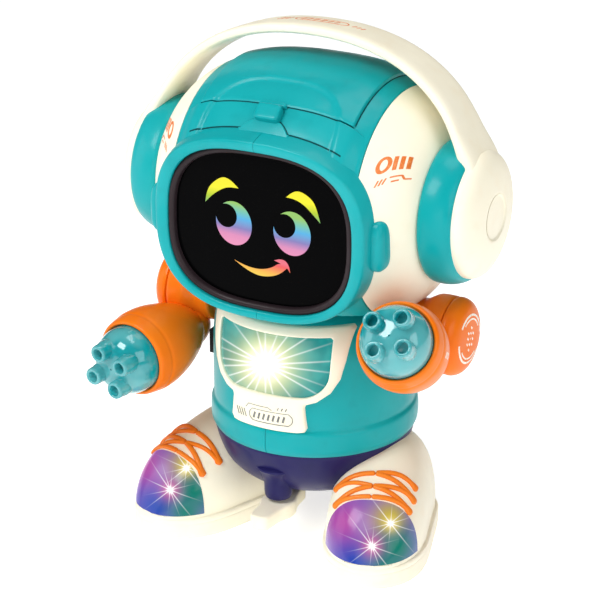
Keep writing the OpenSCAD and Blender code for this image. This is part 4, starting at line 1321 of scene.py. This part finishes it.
def half_width(y):
    """Half the shoe's width: an ellipse at the heel, a blunter one at the toe."""
    toe = np.clip((-24 - y) / 36, 0, 1) ** 1.25
    heel = np.clip((y - 4) / 20, 0, 1)
    return 21.7 * np.sqrt(np.clip(1 - np.maximum(toe, heel) ** 2, 0, 1))


def instep_height(y):
    return np.interp(-y, -instep[:, 0], instep[:, 1]) - SOLE_TOP


def in_shoe(parts):
    """From a shoe's own directions to the left side of the robot."""
    return [(about_z(np.asarray(v), SHOE_TURN) + (SHOE_X, 0, 0), f) for v, f in parts]


def on_shoe(points, lift):
    """The upper's surface over a point of its plan: x to the outer side, y to the heel."""
    x, y = points[..., 0], points[..., 1]
    w, h = half_width(y) + 0.001, instep_height(y)
    k = np.clip(np.abs(x) / w, 0, 0.9995) ** SHOE_POWER
    z = SOLE_TOP + h * (1 - k) ** (1 / SHOE_POWER)
    out = np.stack([x / 60, 0 * x - 0.35, 0 * x + 1.0], -1)
    out = out / np.linalg.norm(out, axis=-1, keepdims=True)
    return np.stack([x, y, z], -1) + out * np.asarray(lift)[..., None]


def shoe_rows(y, low, grow):
    """Cross-sections at each y, from z = low on one side over the top to the other."""
    w = (half_width(y) + grow)[:, None]
    h = (instep_height(y) + grow)[:, None]
    share = np.clip((low - SOLE_TOP) / np.maximum(h, 0.01), 0, 1)
    first = np.arcsin(share ** (SHOE_POWER / 2))
    a = first + (math.pi - 2 * first) * np.linspace(0, 1, 65)[None, :]
    return np.stack([w * spow(np.cos(a), 2 / SHOE_POWER), y[:, None] + 0 * a,
                     SOLE_TOP + h * spow(np.sin(a), 2 / SHOE_POWER)], -1)


heel_y = 4 + 19.9 * np.sin(np.linspace(math.pi / 2, 0, 24))
toe_y = -24 - 35.8 * np.sin(np.linspace(0, math.pi / 2, 60)) ** 0.8
shoe_y = np.concatenate([heel_y, np.linspace(2, -22, 16), toe_y])
sections = shoe_rows(shoe_y, 8.6, 0)
cap_zone = (sections[..., 1] < -43.4) & (sections[..., 2] > 10.8)
sections[..., 2] -= np.where(cap_zone, 0.9, 0)
upper = [tube(sections)]

cap_y = -24 - 35.9 * np.sin(np.linspace(0.462, math.pi / 2 - 0.03, 60)) ** 0.8
cap_y = cap_y[instep_height(cap_y) > 2.4]
top_sheet = shoe_rows(cap_y, 11.0, 0.35)
under = shoe_rows(cap_y, 11.0, -1.6)
toe_lens = [plate(top_sheet, under)]

a = np.linspace(0, 2 * math.pi, 240, endpoint=False)
heel_half, toe_half = 4 + 20 * np.sin(a), -24 - 36 * np.abs(np.sin(a)) ** 0.8
band_line = np.stack([23 * np.cos(a), np.where(np.sin(a) >= 0, heel_half, toe_half)], -1)
band_line = even(smooth(band_line, 1, True), 240, True)
step = np.roll(band_line, -1, 0) - np.roll(band_line, 1, 0)
normal = np.stack([step[:, 1], -step[:, 0]], -1)
normal = normal / np.linalg.norm(normal, axis=1, keepdims=True)
rows = []
for out, height in smooth([(-3, 1.0), (-1.2, 0.15), (-0.3, 0.2), (0.15, 0.9), (0.2, 6.4),
                           (0.0, 6.8), (0.0, 7.1), (0.2, 7.5), (0.1, 8.8), (-0.6, 9.4),
                           (-3, 9.6)], 2, True):
    rows.append(np.column_stack([band_line + normal * out, np.full(240, height)]))
welt = [ring(np.array(rows))]


def lace(path, width, tip=0.0):
    """A round-backed lace along plan points on the upper, with an optional thick end."""
    line = even(smooth(path, 3), 60)
    middle_line = on_shoe(line, 0 * line[:, 0])
    step = np.gradient(middle_line, axis=0)
    step = step / np.linalg.norm(step, axis=1, keepdims=True)
    k = 1 + 0.7 * np.clip(1 - np.linspace(0, 1, 60)[::-1] * 60 / 9, 0, 1) * tip
    ends = np.clip(np.minimum(np.arange(60), np.arange(60)[::-1]) / 2.5, 0.0, 1) ** 0.5
    k = k * np.maximum(ends, 0.05)
    w, h = half_width(line[:, 1]), instep_height(line[:, 1])
    up = np.column_stack([line[:, 0] / np.maximum(w, 1) * 0.9, 0 * w - 0.4, 0 * h + 0.9])
    up = up - step * (up * step).sum(1, keepdims=True)
    up = up / np.linalg.norm(up, axis=1, keepdims=True)
    side = np.cross(step, up)
    a = (np.arange(14) * 2 * math.pi / 14)[None, :, None]
    return tube(middle_line[:, None] + side[:, None] * np.cos(a) * width / 2 * k[:, None, None]
                + up[:, None] * (np.sin(a) * 0.85 * np.minimum(k, 1.25)[:, None, None] + 0.3))


a1, a2 = (-17.6, -31.5), (-16.6, -40.4)
b1, b2, b3 = (17.2, -28.4), (17.4, -34.8), (16.4, -41.0)
top1, top2, top3 = (-0.4, -29.6), (-0.6, -36.2), (-0.5, -41.2)
laces = [lace([top1, (-8, -30.2), (-13.5, -30.8), a1], 2.5, 1),
         lace([top1, (7.8, -28.0), (13, -27.8), b1], 2.5, 1),
         lace([top1, (8, -31.6), (13.5, -33.6), b2], 2.4, 1),
         lace([top2, (-5, -35.2), (-11, -33.4), a1], 2.1, 0),
         lace([top2, (8, -35.4), (13, -34.6), b2], 2.4, 1),
         lace([top2, (-7, -37.8), (-12.5, -39.4), a2], 2.4, 1),
         lace([top2, (7, -38.2), (12.5, -40), b3], 2.4, 1),
         lace([top3, (-7.5, -41.4), (-12.5, -40.8), a2], 2.1, 1),
         lace([top3, (8, -41.0), (13, -40.8), b3], 2.4, 1)]

for side, flip in SIDES:
    piece("shoe_upper_" + side, flip(in_shoe(upper)), "root", cream, ["shoe_" + side], 60,
          "cream_shell")
    piece("toe_lens_" + side, flip(in_shoe(toe_lens)), "root",
          toe_glow("toe_light_" + side, 1 if side == "left" else -1), ["toe_cap_" + side],
          50, "toe_lens")
    piece("lace_set_" + side, flip(in_shoe(laces)), "root", lace_orange, ["laces_" + side],
          60, "orange_laces")
    piece("welt_" + side, flip(in_shoe(welt)), "root", cream, slot="cream_shell")

# %% [markdown]
# ## Nodes that keep their own shape
# Everything inside, the battery door, the wheels and the small fittings are shown as they
# were designed. They could be remade too, but their shapes are already right, and a second
# version could drift away from the first. Each only gets its material.

# %% Materials of the designed nodes
finishes = {
    teal: ["battery_door"], cream: ["sole_left", "sole_right"],
    orange: ["wheel_left", "wheel_right"],
    black: ["neck_post", "shoulder_brackets", "battery_box", "speaker", "power_switch",
            "switch_knob"],
    mirror: ["chest_reflector"],
    board: ["face_light_board", "chest_lamp_board", "main_board"],
    cells: ["batteries"], nickel: ["battery_contacts"],
    steel: ["case_screws", "lever_pin", "arm_axle_left", "arm_axle_right", "wheel_motors"],
    tyre_rubber: ["tyre_left", "tyre_right"], white_gear: ["pinion_left", "pinion_right"]}
for material, names in finishes.items():
    for name in names:
        nodes[name].data.materials.clear()
        nodes[name].data.materials.append(material)

# %% [markdown]
# ## Pieces made
# The script prints how many pieces it made.

# %% Pieces made
print("pieces made:", len(pieces))
